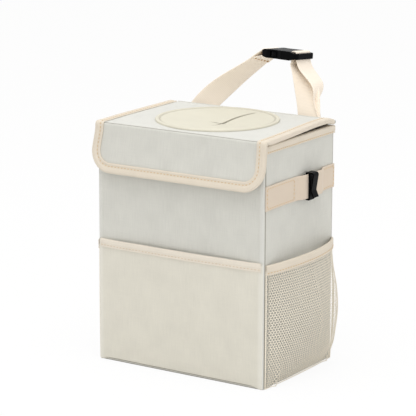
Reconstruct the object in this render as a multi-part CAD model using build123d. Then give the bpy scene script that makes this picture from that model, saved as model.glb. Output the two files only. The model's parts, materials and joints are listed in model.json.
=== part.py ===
from build123d import *
import os

# All sizes in millimetres. X is the bin's width, -Y its front, Z up from the ground.

# Body: fabric outside, stiff board in the middle, waterproof lining inside
body_width = 200.0
body_depth = 136.0
wall_height = 247.2
fabric = 0.9
board = 2.4
lining = 0.6
liner_corner = 5.0
seam_gap = 0.1

# Binding tape, folded over raw edges
tape = 0.8
rim_tape_height = 9.0
lid_tape_width = 10.0
pocket_tape_height = 8.0
mesh_tape_height = 9.5

# Lid with a front flap
lid_gap = 0.8
lid_overhang = 1.5
flap_drop = 51.0
flap_corner = 19.0
flap_board = 1.0
fold_inner = 1.5
board_inset = 3.0
hinge_clearance = 0.3
hinge_strip_height = 14.0
hinge_strip_inset = 8.0
lid_tape_end = 1.5

# Round cover with slits over the port in the lid
cover_radius = 62.0
cover_offset = 2.0
cover_skin = 1.2
cover_seat = 7.0
cover_dip = 2.6
ring_width = 4.0
ring_height = 1.4
ring_slope = 1.3
slit_count = 4
slit_turn = 76.0
slit_width = 0.6
slit_margin = 4.0
slit_hole = 3.0

# Hook and loop tapes that hold the flap shut
touch_tape = 0.7
touch_gap = 0.5
touch_width = 60.0
touch_height = 20.0
touch_edge = 14.0

# Slip pocket across the lower front
pocket_height = 131.0
pocket_crown = 3.2
pocket_inset = 1.0

# Mesh pockets on both sides
mesh = 1.0
mesh_height = 130.0
mesh_inset = 2.0
mesh_foot = 1.0
mesh_foot_bulge = 2.0
mesh_hip_height = 24.0
mesh_hip_bulge = 13.0
mesh_belly_height = 62.0
mesh_belly_bulge = 20.0
mesh_mouth_bulge = 11.0
mesh_lean = 0.22

# Net of the mesh pockets: diamond gaps in staggered rows
net_columns = 8
net_rows = 14
net_margin = 11.0
net_strand = 2.2

# Webbing
web = 1.3
web_width = 25.0
web_gap = 0.35

# Webbing band on each side, with a loose loop for the bag clip
band_height = 195.7
band_inset = 1.0
loop_start = -6.0
loop_rise = 10.0
loop_run = 30.0
loop_fall = 9.0
loop_reach = 4.5
loop_bend = 5.0

# Bag clip moulded in one piece around the webbing
clip_width = 9.5
clip_wall = 1.6
clip_place = 11.0
clip_lip = 4.0
clip_corner = 1.4
arm_wall = 1.5
arm_reach = 4.2
arm_gap = 0.6
arm_drop = 25.0
arm_pinch = 18.0
arm_flare = 3.0

# Side-release buckle on the hanging strap
buckle_x = 3.6
buckle_behind = 30.0
buckle_above = 57.6
buckle_roll = -4.5
buckle_pitch = 0.7
buckle_yaw = -5.4
buckle_width = 32.0
buckle_thickness = 9.4
buckle_gap = 0.4
female_length = 26.5
nose_width = 29.0
nose_thickness = 5.6
nose_length = 9.0
waist_depth = 1.2
shoulder_round = 7.0
buckle_edge = 1.0
bar_width = 3.0
bar_thickness = 3.2
bar_slot = 3.8
slot_side_gap = 0.7
buckle_wall = 1.7
window_length = 9.0
window_start = 3.6
prong_gap = 0.5
prong_wall = 3.0
prong_barb = 2.4
prong_tip = 1.6
guide_width = 7.0
flange_length = 9.6
ladder_slot = 2.5
ladder_bar = 3.0
end_bar = 2.4
end_thickness = 6.4
end_corner = 4.0

# Hanging strap
strap_sewn = 34.0
strap_sewn_drop = 30.0
left_strap_inset = 19.0
left_strap_tilt = 6.5
right_strap_inset = 32.0
left_strap_rise = 40.0
left_strap_lean = 3.0
right_strap_rise = 56.0
right_strap_lean = 12.0
left_leg_angle = 30.0
fold_back = 15.0
fold_loop = 3.8
fold_round = 0.78
left_leg_reach = 12.0
right_leg_reach = 8.0
leg_below = 8.0
tail_bulge = 16.0
tail_bulge_drop = 28.0
tail_crease_drop = 44.0
tail_length = 70.0
tail_slant = 14.0
ribbon_steps = 8

# Places worked out from the sizes above
half_width = body_width / 2
half_depth = body_depth / 2
wall = fabric + board + lining
rim_top = wall_height + tape
lid_slab = lining + board + fabric
flap_slab = lining + flap_board + fabric
fold_radius = fold_inner + flap_slab
lid_under = rim_top + lid_gap + tape
lid_top = lid_under + lid_slab
lid_half_width = half_width + lid_overhang
flap_bottom = lid_top - flap_drop
flap_inner = -half_depth - 2 * touch_tape - touch_gap
flap_outer = flap_inner - flap_slab
hinge_y = half_depth + tape - hinge_clearance - lid_slab / 2
hinge_z = lid_under + lid_slab / 2
port_radius = cover_radius - cover_seat
far = body_width + body_depth + wall_height


def block(x, y, z):
    """A box from the low and high limit on each axis."""
    size = Box(x[1] - x[0], y[1] - y[0], z[1] - z[0])
    return Pos((x[0] + x[1]) / 2, (y[0] + y[1]) / 2, (z[0] + z[1]) / 2) * size


def area(x, y):
    """A flat rectangle from the low and high limit on each axis."""
    size = Rectangle(x[1] - x[0], y[1] - y[0])
    return Pos((x[0] + x[1]) / 2, (y[0] + y[1]) / 2) * size


def on_right(piece):
    """Turns a piece built with its back along X so that it stands on the right-hand side."""
    return Pos(half_width, 0, 0) * Rot(0, 0, -90) * mirror(piece, about=Plane.YZ)


def on_front(piece):
    """Turns a piece built with its back along X so that it stands on the front."""
    return Pos(0, -half_depth, 0) * mirror(piece, about=Plane.XZ)


def on_left(piece):
    """The mirror image, on the left-hand side, of a piece on the right."""
    return mirror(piece, about=Plane.YZ)


# Fabric box


def wall_layers(start, thick, low, high):
    """Front, back, left and right plates of one layer of the walls, start inside the outer faces."""
    x = half_width - start
    y = half_depth - start
    inner = x - thick
    return (
        block((-x, x), (-y, -y + thick), (low, high)),
        block((-x, x), (y - thick, y), (low, high)),
        block((-x, -inner), (-y + thick, y - thick), (low, high)),
        block((inner, x), (-y + thick, y - thick), (low, high)),
    )


def base_layer(start, thick, low):
    x = half_width - start
    y = half_depth - start
    return block((-x, x), (-y, y), (low, low + thick))


def liner_bag():
    """Open-topped lining with rounded upright corners."""
    width = body_width - 2 * (fabric + board)
    depth = body_depth - 2 * (fabric + board)
    floor = fabric + board
    outside = RectangleRounded(width, depth, liner_corner)
    inside = RectangleRounded(width - 2 * lining, depth - 2 * lining, liner_corner - lining)
    bag = Pos(0, 0, floor) * extrude(outside, wall_height - floor)
    return bag - Pos(0, 0, floor + lining) * extrude(inside, wall_height)


def rim_tape():
    """Tape folded over the top edge of the walls all round."""
    low = wall_height - rim_tape_height
    inside_width = body_width - 2 * (wall + tape)
    inside_depth = body_depth - 2 * (wall + tape)
    outside = RectangleRounded(body_width + 2 * tape, body_depth + 2 * tape, tape)
    inside = RectangleRounded(inside_width, inside_depth, liner_corner - lining - tape)
    ring = Pos(0, 0, low) * extrude(outside - inside, rim_top - low)
    cut_width = body_width - 2 * wall
    cut_depth = body_depth - 2 * wall
    walls = Rectangle(body_width, body_depth) - RectangleRounded(cut_width, cut_depth, liner_corner - lining)
    return ring - Pos(0, 0, low) * extrude(walls, rim_tape_height)


# Pockets

# A cubic curve's middle lies this share of the way out to its two middle handles
bow_share = 0.75


def pouch_face(half_span, bulge, thick, height, lean, spread=0.0):
    """Bowed strip seen from above, with its ends on the wall and its middle bulge away from it."""
    knee = 0.6 * half_span
    ends = half_span + spread

    def bow(end, middle):
        reach = (middle - end) / bow_share
        near = (-knee, end + reach * (1 - lean))
        away = (knee, end + reach * (1 + lean))
        return Bezier((-ends, end), near, away, (ends, end))

    outer = bow(seam_gap + thick + spread, seam_gap + thick + spread + bulge)
    inner = bow(max(seam_gap - spread, 0), seam_gap - spread + bulge)
    sides = [Line(outer @ 0, inner @ 0), Line(outer @ 1, inner @ 1)]
    return Pos(0, 0, height) * make_face([outer, inner, *sides])


def pouch(half_span, bulges, thick, top, band, lean):
    """Pocket wall lofted through its bulges, with an upright band at the mouth."""
    faces = [pouch_face(half_span, bulge, thick, height, lean) for height, bulge in bulges]
    mouth = pouch_face(half_span, bulges[-1][1], thick, top - band, lean)
    return loft(faces, ruled=True) + extrude(mouth, band)


def pouch_tape(half_span, bulge, thick, top, band, lean, pocket):
    """Tape folded over the mouth of a pocket."""
    face = pouch_face(half_span, bulge, thick, top - band, lean, tape)
    return extrude(face, band + tape) - pocket


def front_pocket():
    half_span = half_width - pocket_inset
    foot = [(seam_gap, seam_gap), (pocket_height - pocket_tape_height, pocket_crown)]
    return pouch(half_span, foot, fabric, pocket_height, pocket_tape_height, 0)


def front_pocket_tape(pocket):
    half_span = half_width - pocket_inset
    return pouch_tape(half_span, pocket_crown, fabric, pocket_height, pocket_tape_height, 0, pocket)


def net_gaps(half_span):
    """Diamond gaps between crossing strands, run through the net from front to back."""
    wide = (half_span - net_margin) / net_columns
    tall = (mesh_height - mesh_tape_height - net_margin) / (net_rows + 2)
    cell = 2 * wide * tall / Vector(wide, tall).length
    open_share = 1 - net_strand / cell
    corners = [(-wide, 0), (0, tall), (wide, 0), (0, -tall)]
    gap = make_face(Polyline(*[(x * open_share, z * open_share) for x, z in corners], close=True))
    gaps = []
    for row in range(net_rows):
        count = net_columns - row % 2
        for column in range(count):
            gaps.append(Pos((2 * column - count + 1) * wide, net_margin + (row + 1) * tall) * gap)
    return extrude(Plane.XZ * Sketch(gaps), far, both=True)


def mesh_pocket():
    bulges = [
        (mesh_foot, mesh_foot_bulge),
        (mesh_hip_height, mesh_hip_bulge),
        (mesh_belly_height, mesh_belly_bulge),
        (mesh_height - mesh_tape_height, mesh_mouth_bulge),
    ]
    half_span = half_depth - mesh_inset
    wall_of_net = pouch(half_span, bulges, mesh, mesh_height, mesh_tape_height, mesh_lean)
    return wall_of_net - net_gaps(half_span)


def mesh_pocket_tape(pocket):
    half_span = half_depth - mesh_inset
    return pouch_tape(half_span, mesh_mouth_bulge, mesh, mesh_height, mesh_tape_height, mesh_lean, pocket)


# Side webbing and bag clip

loop_top = loop_start + loop_rise
loop_stop = loop_top + loop_run
band_middle = seam_gap + web / 2
clip_back = seam_gap + loop_reach - web_gap


def side_band():
    """Webbing along a side, sewn flat at both ends and standing off in a loop between."""
    ends = half_depth - band_inset
    path = FilletPolyline(
        (-ends, band_middle, band_height),
        (loop_start, band_middle, band_height),
        (loop_top, band_middle + loop_reach, band_height),
        (loop_stop, band_middle + loop_reach, band_height),
        (loop_stop + loop_fall, band_middle, band_height),
        (ends, band_middle, band_height),
        radius=loop_bend,
    )
    section = Plane(origin=path @ 0, x_dir=(0, 1, 0), z_dir=path % 0) * Rectangle(web, web_width)
    return sweep(section, path)


def bag_clip():
    """Plate with lips round the webbing's edges and a spring arm that pinches a bag against it."""
    front = clip_back + web + 2 * web_gap
    inside = web_width / 2 + web_gap
    outside = inside + clip_wall
    profile = area((clip_back - clip_wall, front + clip_wall), (-outside, outside))
    profile = fillet(profile.vertices(), clip_corner)
    profile -= area((clip_back, front), (-inside, inside))
    profile -= area((clip_back - clip_wall, clip_back), (clip_lip - inside, inside - clip_lip))
    shoulder = front + clip_wall + arm_reach
    pinch = front + clip_wall + arm_gap + arm_wall / 2
    top = outside - arm_wall / 2
    arm = FilletPolyline(
        (front + clip_wall / 2, top),
        (shoulder, top),
        (pinch, top - arm_pinch),
        (pinch + arm_flare, top - arm_drop),
        radius=arm_reach / 2,
    )
    start = Plane(origin=arm @ 0, x_dir=(0, 0, 1), z_dir=arm % 0)
    spring = sweep(start * Rectangle(clip_width, arm_wall), arm)
    plate = extrude(profile, clip_width / 2, both=True)
    upright = Plane(origin=(clip_place, 0, band_height), x_dir=(0, 1, 0), z_dir=(1, 0, 0))
    return upright * (plate + spring)


# Lid


def flap_outline(inset):
    """Front view of the lid: upright sides and a rounded lower edge, run through from front to back."""
    side = lid_half_width - inset
    low = flap_bottom + inset
    high = lid_top + far
    shape = area((-side, side), (low, high))
    rounded = fillet(shape.vertices().group_by(Axis.Y)[0], flap_corner - inset)
    return extrude(Plane.XZ * rounded, far, both=True)


def lid_sheet(section):
    """A section in the Y-Z plane, run across the width of the lid."""
    return extrude(Plane.YZ * section, lid_half_width + tape, both=True)


def folded_area(front, top, back, bottom, radius):
    """Rectangle in the Y-Z plane with a rounded upper front corner, where the flap folds down."""
    shape = area((front, back), (bottom, top))
    corner = [v for v in shape.vertices() if v.X < front + radius / 2 and v.Y > top - radius / 2]
    return fillet(corner, radius)


def lid_section(grow=0.0, back=hinge_y):
    """Section of the whole lid, grown by the same amount on both faces."""
    low = flap_bottom - grow
    outside = folded_area(flap_outer - grow, lid_top + grow, back, low, fold_radius + grow)
    inside = folded_area(flap_inner + grow, lid_under - grow, back + far, low - far, fold_inner - grow)
    return outside - inside


def port():
    """Round hole through the lid under the slit cover."""
    return Pos(0, cover_offset, lid_under - tape) * extrude(Circle(port_radius), lid_slab + 2 * tape)


def lid_fabric():
    """Outer fabric of top and flap in one sheet, rolled round the hinge line at the back."""
    roll = Pos(hinge_y, hinge_z) * Circle(lid_slab / 2)
    roll &= area((hinge_y, hinge_y + far), (lid_under, lid_top))
    inside = folded_area(flap_outer + fabric, lid_top - fabric, hinge_y, -far, fold_radius - fabric)
    core = Pos(hinge_y, hinge_z) * Circle(lid_slab / 2 - fabric)
    sheet = lid_section() + roll - inside - core
    return lid_sheet(sheet) & flap_outline(0) - port()


def lid_lining():
    """Inner lining of top and flap in one sheet."""
    front = flap_inner - lining
    sheet = folded_area(front, lid_under + lining, hinge_y, flap_bottom, fold_inner + lining)
    sheet -= folded_area(flap_inner, lid_under, hinge_y + far, flap_bottom - far, fold_inner)
    return lid_sheet(sheet) & flap_outline(0) - port()


def lid_board():
    side = lid_half_width - board_inset
    plate = block((-side, side), (flap_outer + fold_radius, hinge_y), (lid_under + lining, lid_top - fabric))
    return plate - port()


def flap_stiffener():
    plate = area((flap_outer + fabric, flap_inner - lining), (flap_bottom, lid_top - 2 * fold_radius))
    return lid_sheet(plate) & flap_outline(board_inset)


def lid_tape():
    """Tape folded over the lid's sides and the flap's rounded edge."""
    grown = lid_sheet(lid_section(tape, hinge_y - lid_tape_end)) & flap_outline(-tape)
    return grown - (lid_sheet(lid_section()) & flap_outline(0)) - flap_outline(lid_tape_width)


def hinge_strip():
    """Fabric strip sewn along the back, level with the hinge line."""
    side = half_width - hinge_strip_inset
    front = half_depth + tape
    return block((-side, side), (front, front + fabric), (wall_height - hinge_strip_height, hinge_z))


def slit_cover():
    """Soft moulded disc with a raised ring, sagging a little to the slits that cross at its middle."""
    seat = port_radius
    top = lid_top + cover_skin
    crest = top + ring_height
    inner_ring = cover_radius - ring_width
    profile = Polyline(
        (0, lid_top - cover_dip),
        (seat, lid_top),
        (cover_radius, lid_top),
        (cover_radius, top),
        (cover_radius - ring_slope, crest),
        (inner_ring + ring_slope, crest),
        (inner_ring, top),
        (seat, top),
        (0, top - cover_dip),
        close=True,
    )
    disc = revolve(Plane.XZ * make_face(profile), Axis.Z)
    slit = block((0, seat - slit_margin), (-slit_width / 2, slit_width / 2), (lid_under - far, lid_top + far))
    for turn in range(slit_count):
        disc -= Rot(0, 0, slit_turn + turn * 360 / slit_count) * slit
    disc -= Pos(0, 0, lid_under) * extrude(Circle(slit_hole / 2), lid_slab + cover_skin, both=True)
    return Pos(0, cover_offset, 0) * disc


def touch_tapes():
    """Loop tape on the front wall and hook tape inside the flap, facing each other."""
    side = touch_width / 2
    low = flap_bottom + touch_edge
    loop = block((-side, side), (-half_depth - touch_tape, -half_depth), (low, low + touch_height))
    hook = block((-side, side), (flap_inner, flap_inner + touch_tape), (low, low + touch_height))
    return loop, hook


# Buckle, built along its own X and then set in place over the strap

buckle_turn = Rot(buckle_roll, buckle_pitch, buckle_yaw)
buckle_place = Pos(buckle_x, half_depth + buckle_behind, lid_top + buckle_above) * buckle_turn
slot_half = web_width / 2 + slot_side_gap
cavity_start = bar_width + bar_slot + buckle_wall
cavity_half = buckle_width / 2 - buckle_wall
cavity_high = buckle_thickness / 2 - buckle_wall
window_low = cavity_start + window_start
window_high = window_low + window_length
male_start = female_length + buckle_gap
slot_one = male_start + flange_length
bar_two = slot_one + ladder_slot
slot_two = bar_two + ladder_bar
bar_three = slot_two + ladder_slot
buckle_length = bar_three + end_bar
bar_half = bar_thickness / 2


def side_view(upper, first, last):
    """Upright profile of a buckle half from its upper outline and the ends of that, run across it."""
    lower = [mirror(edge, about=Plane.XZ) for edge in upper]
    ends = [Line((x, z), (x, -z)) for x, z in (first, last)]
    return extrude(Plane.XZ * make_face([*upper, *lower, *ends]), buckle_width, both=True)


def round_rim(half, end):
    """Rounds the upper and lower rim of a buckle half, with its outer end but not its mouth."""
    edges = half.edges()
    across = edges.filter_by(Axis.Y)
    outer = across.filter_by_position(Axis.X, end - seam_gap, end + seam_gap)
    rim = [edge for edge in edges - across - edges.filter_by(Axis.Z)]
    return fillet([*rim, *outer], buckle_edge)


def buckle_slot(start, length):
    return block((start, start + length), (-slot_half, slot_half), (-buckle_thickness, buckle_thickness))


def thinned_bar(start, length):
    """Room above and below a bar, so that the webbing over it lies between the rails."""
    high = block((start, start + length), (-slot_half, slot_half), (bar_half, buckle_thickness))
    return high + mirror(high, about=Plane.XY)


def female_half():
    """Crowned socket with a bar for the sewn strap and a window on each side for the prongs."""
    tip = nose_thickness / 2
    high = buckle_thickness / 2
    crown = TangentArc((nose_length, high), (0, tip), tangent=(-1, 0))
    flat = Line((nose_length, high), (female_length, high))
    near = nose_width / 2
    wide = buckle_width / 2
    middle = (nose_length + female_length) / 2
    upper = ThreePointArc((nose_length, wide), (middle, wide - waist_depth), (female_length, wide))
    lower = ThreePointArc((nose_length, -wide), (middle, waist_depth - wide), (female_length, -wide))
    outline = make_face(
        [
            Line((0, -near), (0, near)),
            Line((0, near), (nose_length, wide)),
            upper,
            Line((female_length, wide), (female_length, -wide)),
            lower,
            Line((nose_length, -wide), (0, -near)),
        ]
    )
    outline = fillet(outline.vertices().group_by(Axis.X)[0], tip)
    shoulders = outline.vertices().filter_by_position(Axis.X, nose_length - seam_gap, nose_length + seam_gap)
    outline = fillet(shoulders, shoulder_round)
    side = side_view([crown, flat], (0, tip), (female_length, high))
    shell = round_rim(side & extrude(outline, buckle_thickness, both=True), 0)
    socket = (cavity_start, female_length + far)
    shell -= block(socket, (-cavity_half, cavity_half), (-cavity_high, cavity_high))
    shell -= block((window_low, window_high), (-far, far), (-cavity_high, cavity_high))
    shell -= buckle_slot(bar_width, bar_slot)
    return buckle_place * (shell - thinned_bar(0, bar_width))


def prong(side):
    """Sprung arm with a barb that shows in the window."""
    out = cavity_half - prong_gap
    inner = out - prong_wall
    barb = out + prong_gap + prong_barb / 2
    tip = cavity_start + prong_tip
    shoulder = window_high - prong_gap
    start = window_low + prong_gap
    outline = make_face(
        [
            Line((male_start, inner), (tip, inner)),
            Line((tip, inner), (tip, out - prong_wall / 2)),
            Line((tip, out - prong_wall / 2), (start, out)),
            ThreePointArc((start, out), ((start + shoulder) / 2, barb + prong_barb / 4), (shoulder, barb)),
            Line((shoulder, barb), (shoulder, out - prong_wall / 3)),
            Line((shoulder, out - prong_wall / 3), (male_start, out - prong_wall / 3)),
            Line((male_start, out - prong_wall / 3), (male_start, inner)),
        ]
    )
    arm = extrude(outline, cavity_high - prong_gap, both=True)
    return arm if side > 0 else mirror(arm, about=Plane.XZ)


def male_half():
    """Ladder frame for the adjustable strap, with a guide and two prongs that enter the socket."""
    high = buckle_thickness / 2
    low = end_thickness / 2
    upper = Polyline((male_start, high), (slot_one, high), (slot_two, low), (buckle_length, low))
    side = side_view(upper.edges(), (male_start, high), (buckle_length, low))
    wide = buckle_width / 2
    outline = area((male_start, buckle_length), (-wide, wide))
    outline = fillet(outline.vertices().group_by(Axis.X)[-1], end_corner)
    frame = round_rim(side & extrude(outline, buckle_thickness, both=True), buckle_length)
    frame -= buckle_slot(slot_one, ladder_slot)
    frame -= buckle_slot(slot_two, ladder_slot)
    frame -= thinned_bar(bar_two, ladder_bar)
    guide_start = cavity_start + 2 * prong_tip
    reach = cavity_high - prong_gap
    guide = block((guide_start, male_start), (-guide_width / 2, guide_width / 2), (-reach, reach))
    return buckle_place * (frame + guide + prong(1) + prong(-1))


# Hanging strap

strap_plane_y = half_depth + seam_gap + web / 2
left_leg = Vector(-1, 0, 0).rotate(Axis.Y, -left_leg_angle)
web_section = Rectangle(web_width, web)


def threaded(path):
    """Webbing along a path in the buckle's middle plane, and the plane of its first end."""
    end = Plane(origin=path @ 0, x_dir=(0, 1, 0), z_dir=path % 0)
    return buckle_place * sweep(end * web_section, path), Plane(buckle_place * end.location)


def ribbon(start, rise, reach, stop):
    """Webbing on a free curve between two end planes, turning from one's width to the other's."""
    path = Bezier(start.origin, start.origin + rise, stop.origin - reach, stop.origin)
    sections = [start * web_section]
    for step in range(1, ribbon_steps):
        t = step / ribbon_steps
        turn = t * t * (3 - 2 * t)
        along = path % t
        across = start.x_dir * (1 - turn) + stop.x_dir * turn
        across = (across - along * across.dot(along)).normalized()
        sections.append(Plane(origin=path @ t, x_dir=across, z_dir=along) * web_section)
    sections.append(stop * web_section)
    return loft(sections)


def sewn_end(x, tilt, rise, lean):
    """Flat end of the strap on the back wall, the plane of its top edge and the way up from there."""
    top = Plane(Pos(x, strap_plane_y, rim_top - strap_sewn_drop) * Rot(0, tilt, 0))
    patch = Pos(0, 0, -strap_sewn / 2) * Box(web_width, web, strap_sewn)
    return top * patch, top, top.z_dir * rise + Vector(0, lean, 0)


def left_strap():
    """Strap from the back wall to the female half, folded round its bar and back onto itself."""
    inset = left_strap_inset - half_width
    patch, top, rise = sewn_end(inset, left_strap_tilt, left_strap_rise, left_strap_lean)
    layer = web / 2 + seam_gap / 2
    loop = FilletPolyline(
        (fold_back, -layer),
        (-fold_loop, -fold_loop),
        (-fold_loop, fold_loop),
        (fold_back, layer),
        radius=fold_round * fold_loop,
    )
    swing = Plane(origin=(bar_width / 2, 0, 0), x_dir=left_leg, z_dir=(0, 1, 0))
    fold, end = threaded(swing * loop)
    return patch + ribbon(top, rise, end.z_dir * left_leg_reach, end) + fold


def right_strap():
    """Strap from the back wall through the ladder frame, with its loose tail."""
    inset = half_width - right_strap_inset
    patch, top, rise = sewn_end(inset, 0, right_strap_rise, right_strap_lean)
    over = bar_half + web_gap + web / 2
    up_slot = slot_one + ladder_slot / 2
    down_slot = slot_two + ladder_slot / 2
    wrap = FilletPolyline(
        (up_slot, -leg_below),
        (up_slot, over),
        (down_slot, over),
        (down_slot, -leg_below),
        (down_slot + tail_bulge, -tail_bulge_drop),
        (down_slot + tail_slant, -tail_crease_drop),
        (down_slot + tail_slant, -tail_length),
        radius=[web, web, 2 * leg_below, leg_below, leg_below],
    )
    wrapped, end = threaded(Plane.XZ * wrap)
    return patch + ribbon(top, rise, end.z_dir * right_leg_reach, end) + wrapped


def build():
    names = ("front", "back", "left_side", "right_side")
    panels = wall_layers(0, fabric, 0, wall_height)
    boards = wall_layers(fabric, board, fabric, wall_height)
    parts = {f"{name}_panel": panel for name, panel in zip(names, panels)}
    parts |= {f"{name}_board": plate for name, plate in zip(names, boards)}
    parts["base_panel"] = base_layer(fabric, fabric, 0)
    parts["base_board"] = base_layer(fabric + board, board, fabric)
    parts["liner"] = liner_bag()
    parts["rim_binding"] = rim_tape()

    slip_pocket = front_pocket()
    parts["front_pocket"] = on_front(slip_pocket)
    parts["front_pocket_binding"] = on_front(front_pocket_tape(slip_pocket))
    net = mesh_pocket()
    sides = {
        "mesh_pocket": net,
        "mesh_binding": mesh_pocket_tape(net),
        "side_webbing": side_band(),
        "bag_clip": bag_clip(),
    }
    for name, piece in sides.items():
        parts[f"right_{name}"] = on_right(piece)
        parts[f"left_{name}"] = on_left(on_right(piece))

    parts["lid_panel"] = lid_fabric()
    parts["lid_board"] = lid_board()
    parts["flap_board"] = flap_stiffener()
    parts["lid_lining"] = lid_lining()
    parts["lid_binding"] = lid_tape()
    parts["slit_cover"] = slit_cover()
    parts["hinge_strip"] = hinge_strip()
    parts["loop_tape"], parts["hook_tape"] = touch_tapes()

    parts["left_strap"] = left_strap()
    parts["right_strap"] = right_strap()
    parts["female_buckle"] = female_half()
    parts["male_buckle"] = male_half()
    return parts


if __name__ == "__main__":
    os.makedirs("parts", exist_ok=True)
    for name, part in build().items():
        export_step(part, f"parts/{name}.step")
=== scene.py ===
import json
import math
import bmesh
import bpy
from mathutils import Matrix, Vector, noise


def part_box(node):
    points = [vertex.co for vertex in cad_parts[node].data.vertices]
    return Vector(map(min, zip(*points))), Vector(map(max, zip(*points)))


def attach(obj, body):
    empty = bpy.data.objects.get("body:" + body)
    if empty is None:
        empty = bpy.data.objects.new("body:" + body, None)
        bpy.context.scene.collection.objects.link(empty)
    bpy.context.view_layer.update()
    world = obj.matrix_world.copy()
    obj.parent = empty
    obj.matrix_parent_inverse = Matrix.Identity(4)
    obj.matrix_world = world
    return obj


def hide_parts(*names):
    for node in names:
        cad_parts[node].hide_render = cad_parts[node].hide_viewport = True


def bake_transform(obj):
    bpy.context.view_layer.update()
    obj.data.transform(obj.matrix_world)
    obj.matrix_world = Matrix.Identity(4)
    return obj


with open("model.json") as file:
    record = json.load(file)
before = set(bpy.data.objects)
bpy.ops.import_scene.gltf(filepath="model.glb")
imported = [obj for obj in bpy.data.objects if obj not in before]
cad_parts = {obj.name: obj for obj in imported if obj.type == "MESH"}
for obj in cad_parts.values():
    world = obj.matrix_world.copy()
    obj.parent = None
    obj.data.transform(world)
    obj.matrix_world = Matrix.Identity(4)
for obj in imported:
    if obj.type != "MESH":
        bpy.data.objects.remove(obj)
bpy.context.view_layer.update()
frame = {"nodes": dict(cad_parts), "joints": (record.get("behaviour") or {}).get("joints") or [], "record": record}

# Sizes are in millimetres. X is the bin's width, -Y its front, Z up from the ground.
MM = 0.001


def limits(node, axis):
    """Low and high limit of a CAD node along one axis."""
    low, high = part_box(node)
    place = "XYZ".index(axis)
    return low[place] / MM, high[place] / MM


joints = {joint["name"]: joint for joint in frame["joints"]}

# The box
half_width = limits("front_panel", "X")[1]
half_depth = limits("back_panel", "Y")[1]
wall_top = limits("front_panel", "Z")[1]
canvas_thick = half_depth + limits("front_panel", "Y")[1]
tape = limits("rim_binding", "X")[1] - half_width
rim_low, rim_top = limits("rim_binding", "Z")
liner_half_width = limits("liner", "X")[1]
liner_half_depth = limits("liner", "Y")[1]
liner_floor = limits("liner", "Z")[0]

# The lid
hinge_y, hinge_z = (joints["lid_hinge"]["pos_m"][axis] / MM for axis in (1, 2))
lid_side = limits("lid_panel", "X")[1]
flap_bottom, lid_top = limits("lid_panel", "Z")
flap_front = limits("lid_panel", "Y")[0]
flap_back = limits("hook_tape", "Y")[0]
lid_slab = 2 * (lid_top - hinge_z)
flap_slab = flap_back - flap_front
cover_radius = limits("slit_cover", "X")[1]
cover_y = sum(limits("slit_cover", "Y")) / 2

# Seams and stitches
corner_roll = 1.6
foot_roll = 2.2
stitch_pitch = 4.0
stitch_length = 2.4
stitch_radius = 0.42
stitch_taper = 0.9
stitch_rise = 0.55
stitch_sink = 1.1
stitch_broad = 1.15
weld_gap = 0.004

# Small helpers


def smooth(low, high, value):
    """0 below low, 1 above high and an easy slope between."""
    t = min(max((value - low) / (high - low), 0.0), 1.0)
    return t * t * (3 - 2 * t)


def hump(value, middle, half):
    """1 at the middle, falling away to nothing on both sides."""
    return math.exp(-(((value - middle) / half) ** 2))


def ripple(x, y, size, seed):
    """Smooth unevenness between -1 and 1 with waves about size across."""
    return noise.noise(Vector((x / size, y / size, seed)))


def steps(low, high, count):
    return [low + (high - low) * i / count for i in range(count + 1)]


def stretches(start, *parts):
    """Places along stretches that follow each other, each given by its end and its number of steps."""
    places = [start]
    for stop, count in parts:
        places += [*steps(places[-1], stop, count)[1:-1], stop]
    return places


def rolled(radius, into):
    """How far a round edge falls away at a distance into its bend."""
    return radius - math.sqrt(max(radius ** 2 - max(into, 0.0) ** 2, 0.0))


def between(first, last, count):
    """Flat points along a straight line."""
    (a, b), (c, d) = first, last
    return [(a + (c - a) * t, b + (d - b) * t) for t in steps(0, 1, count)]


def distances(points):
    """How far along a line of points each one lies."""
    travel = [0.0]
    for a, b in zip(points, points[1:]):
        travel.append(travel[-1] + (b - a).length)
    return travel


def arc(centre, radius, first, last, count):
    """Points on a round stretch, from the first angle to the last, in degrees."""
    turns = [math.radians(angle) for angle in steps(first, last, count)]
    return [(centre[0] + radius * math.cos(t), centre[1] + radius * math.sin(t)) for t in turns]


def added(name, data):
    """A new object in the scene."""
    holder = bpy.data.objects.new(name, data)
    bpy.context.scene.collection.objects.link(holder)
    return holder


# Meshes: every surface carries its place on the flat cloth, in millimetres, in the map "weave"


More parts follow.
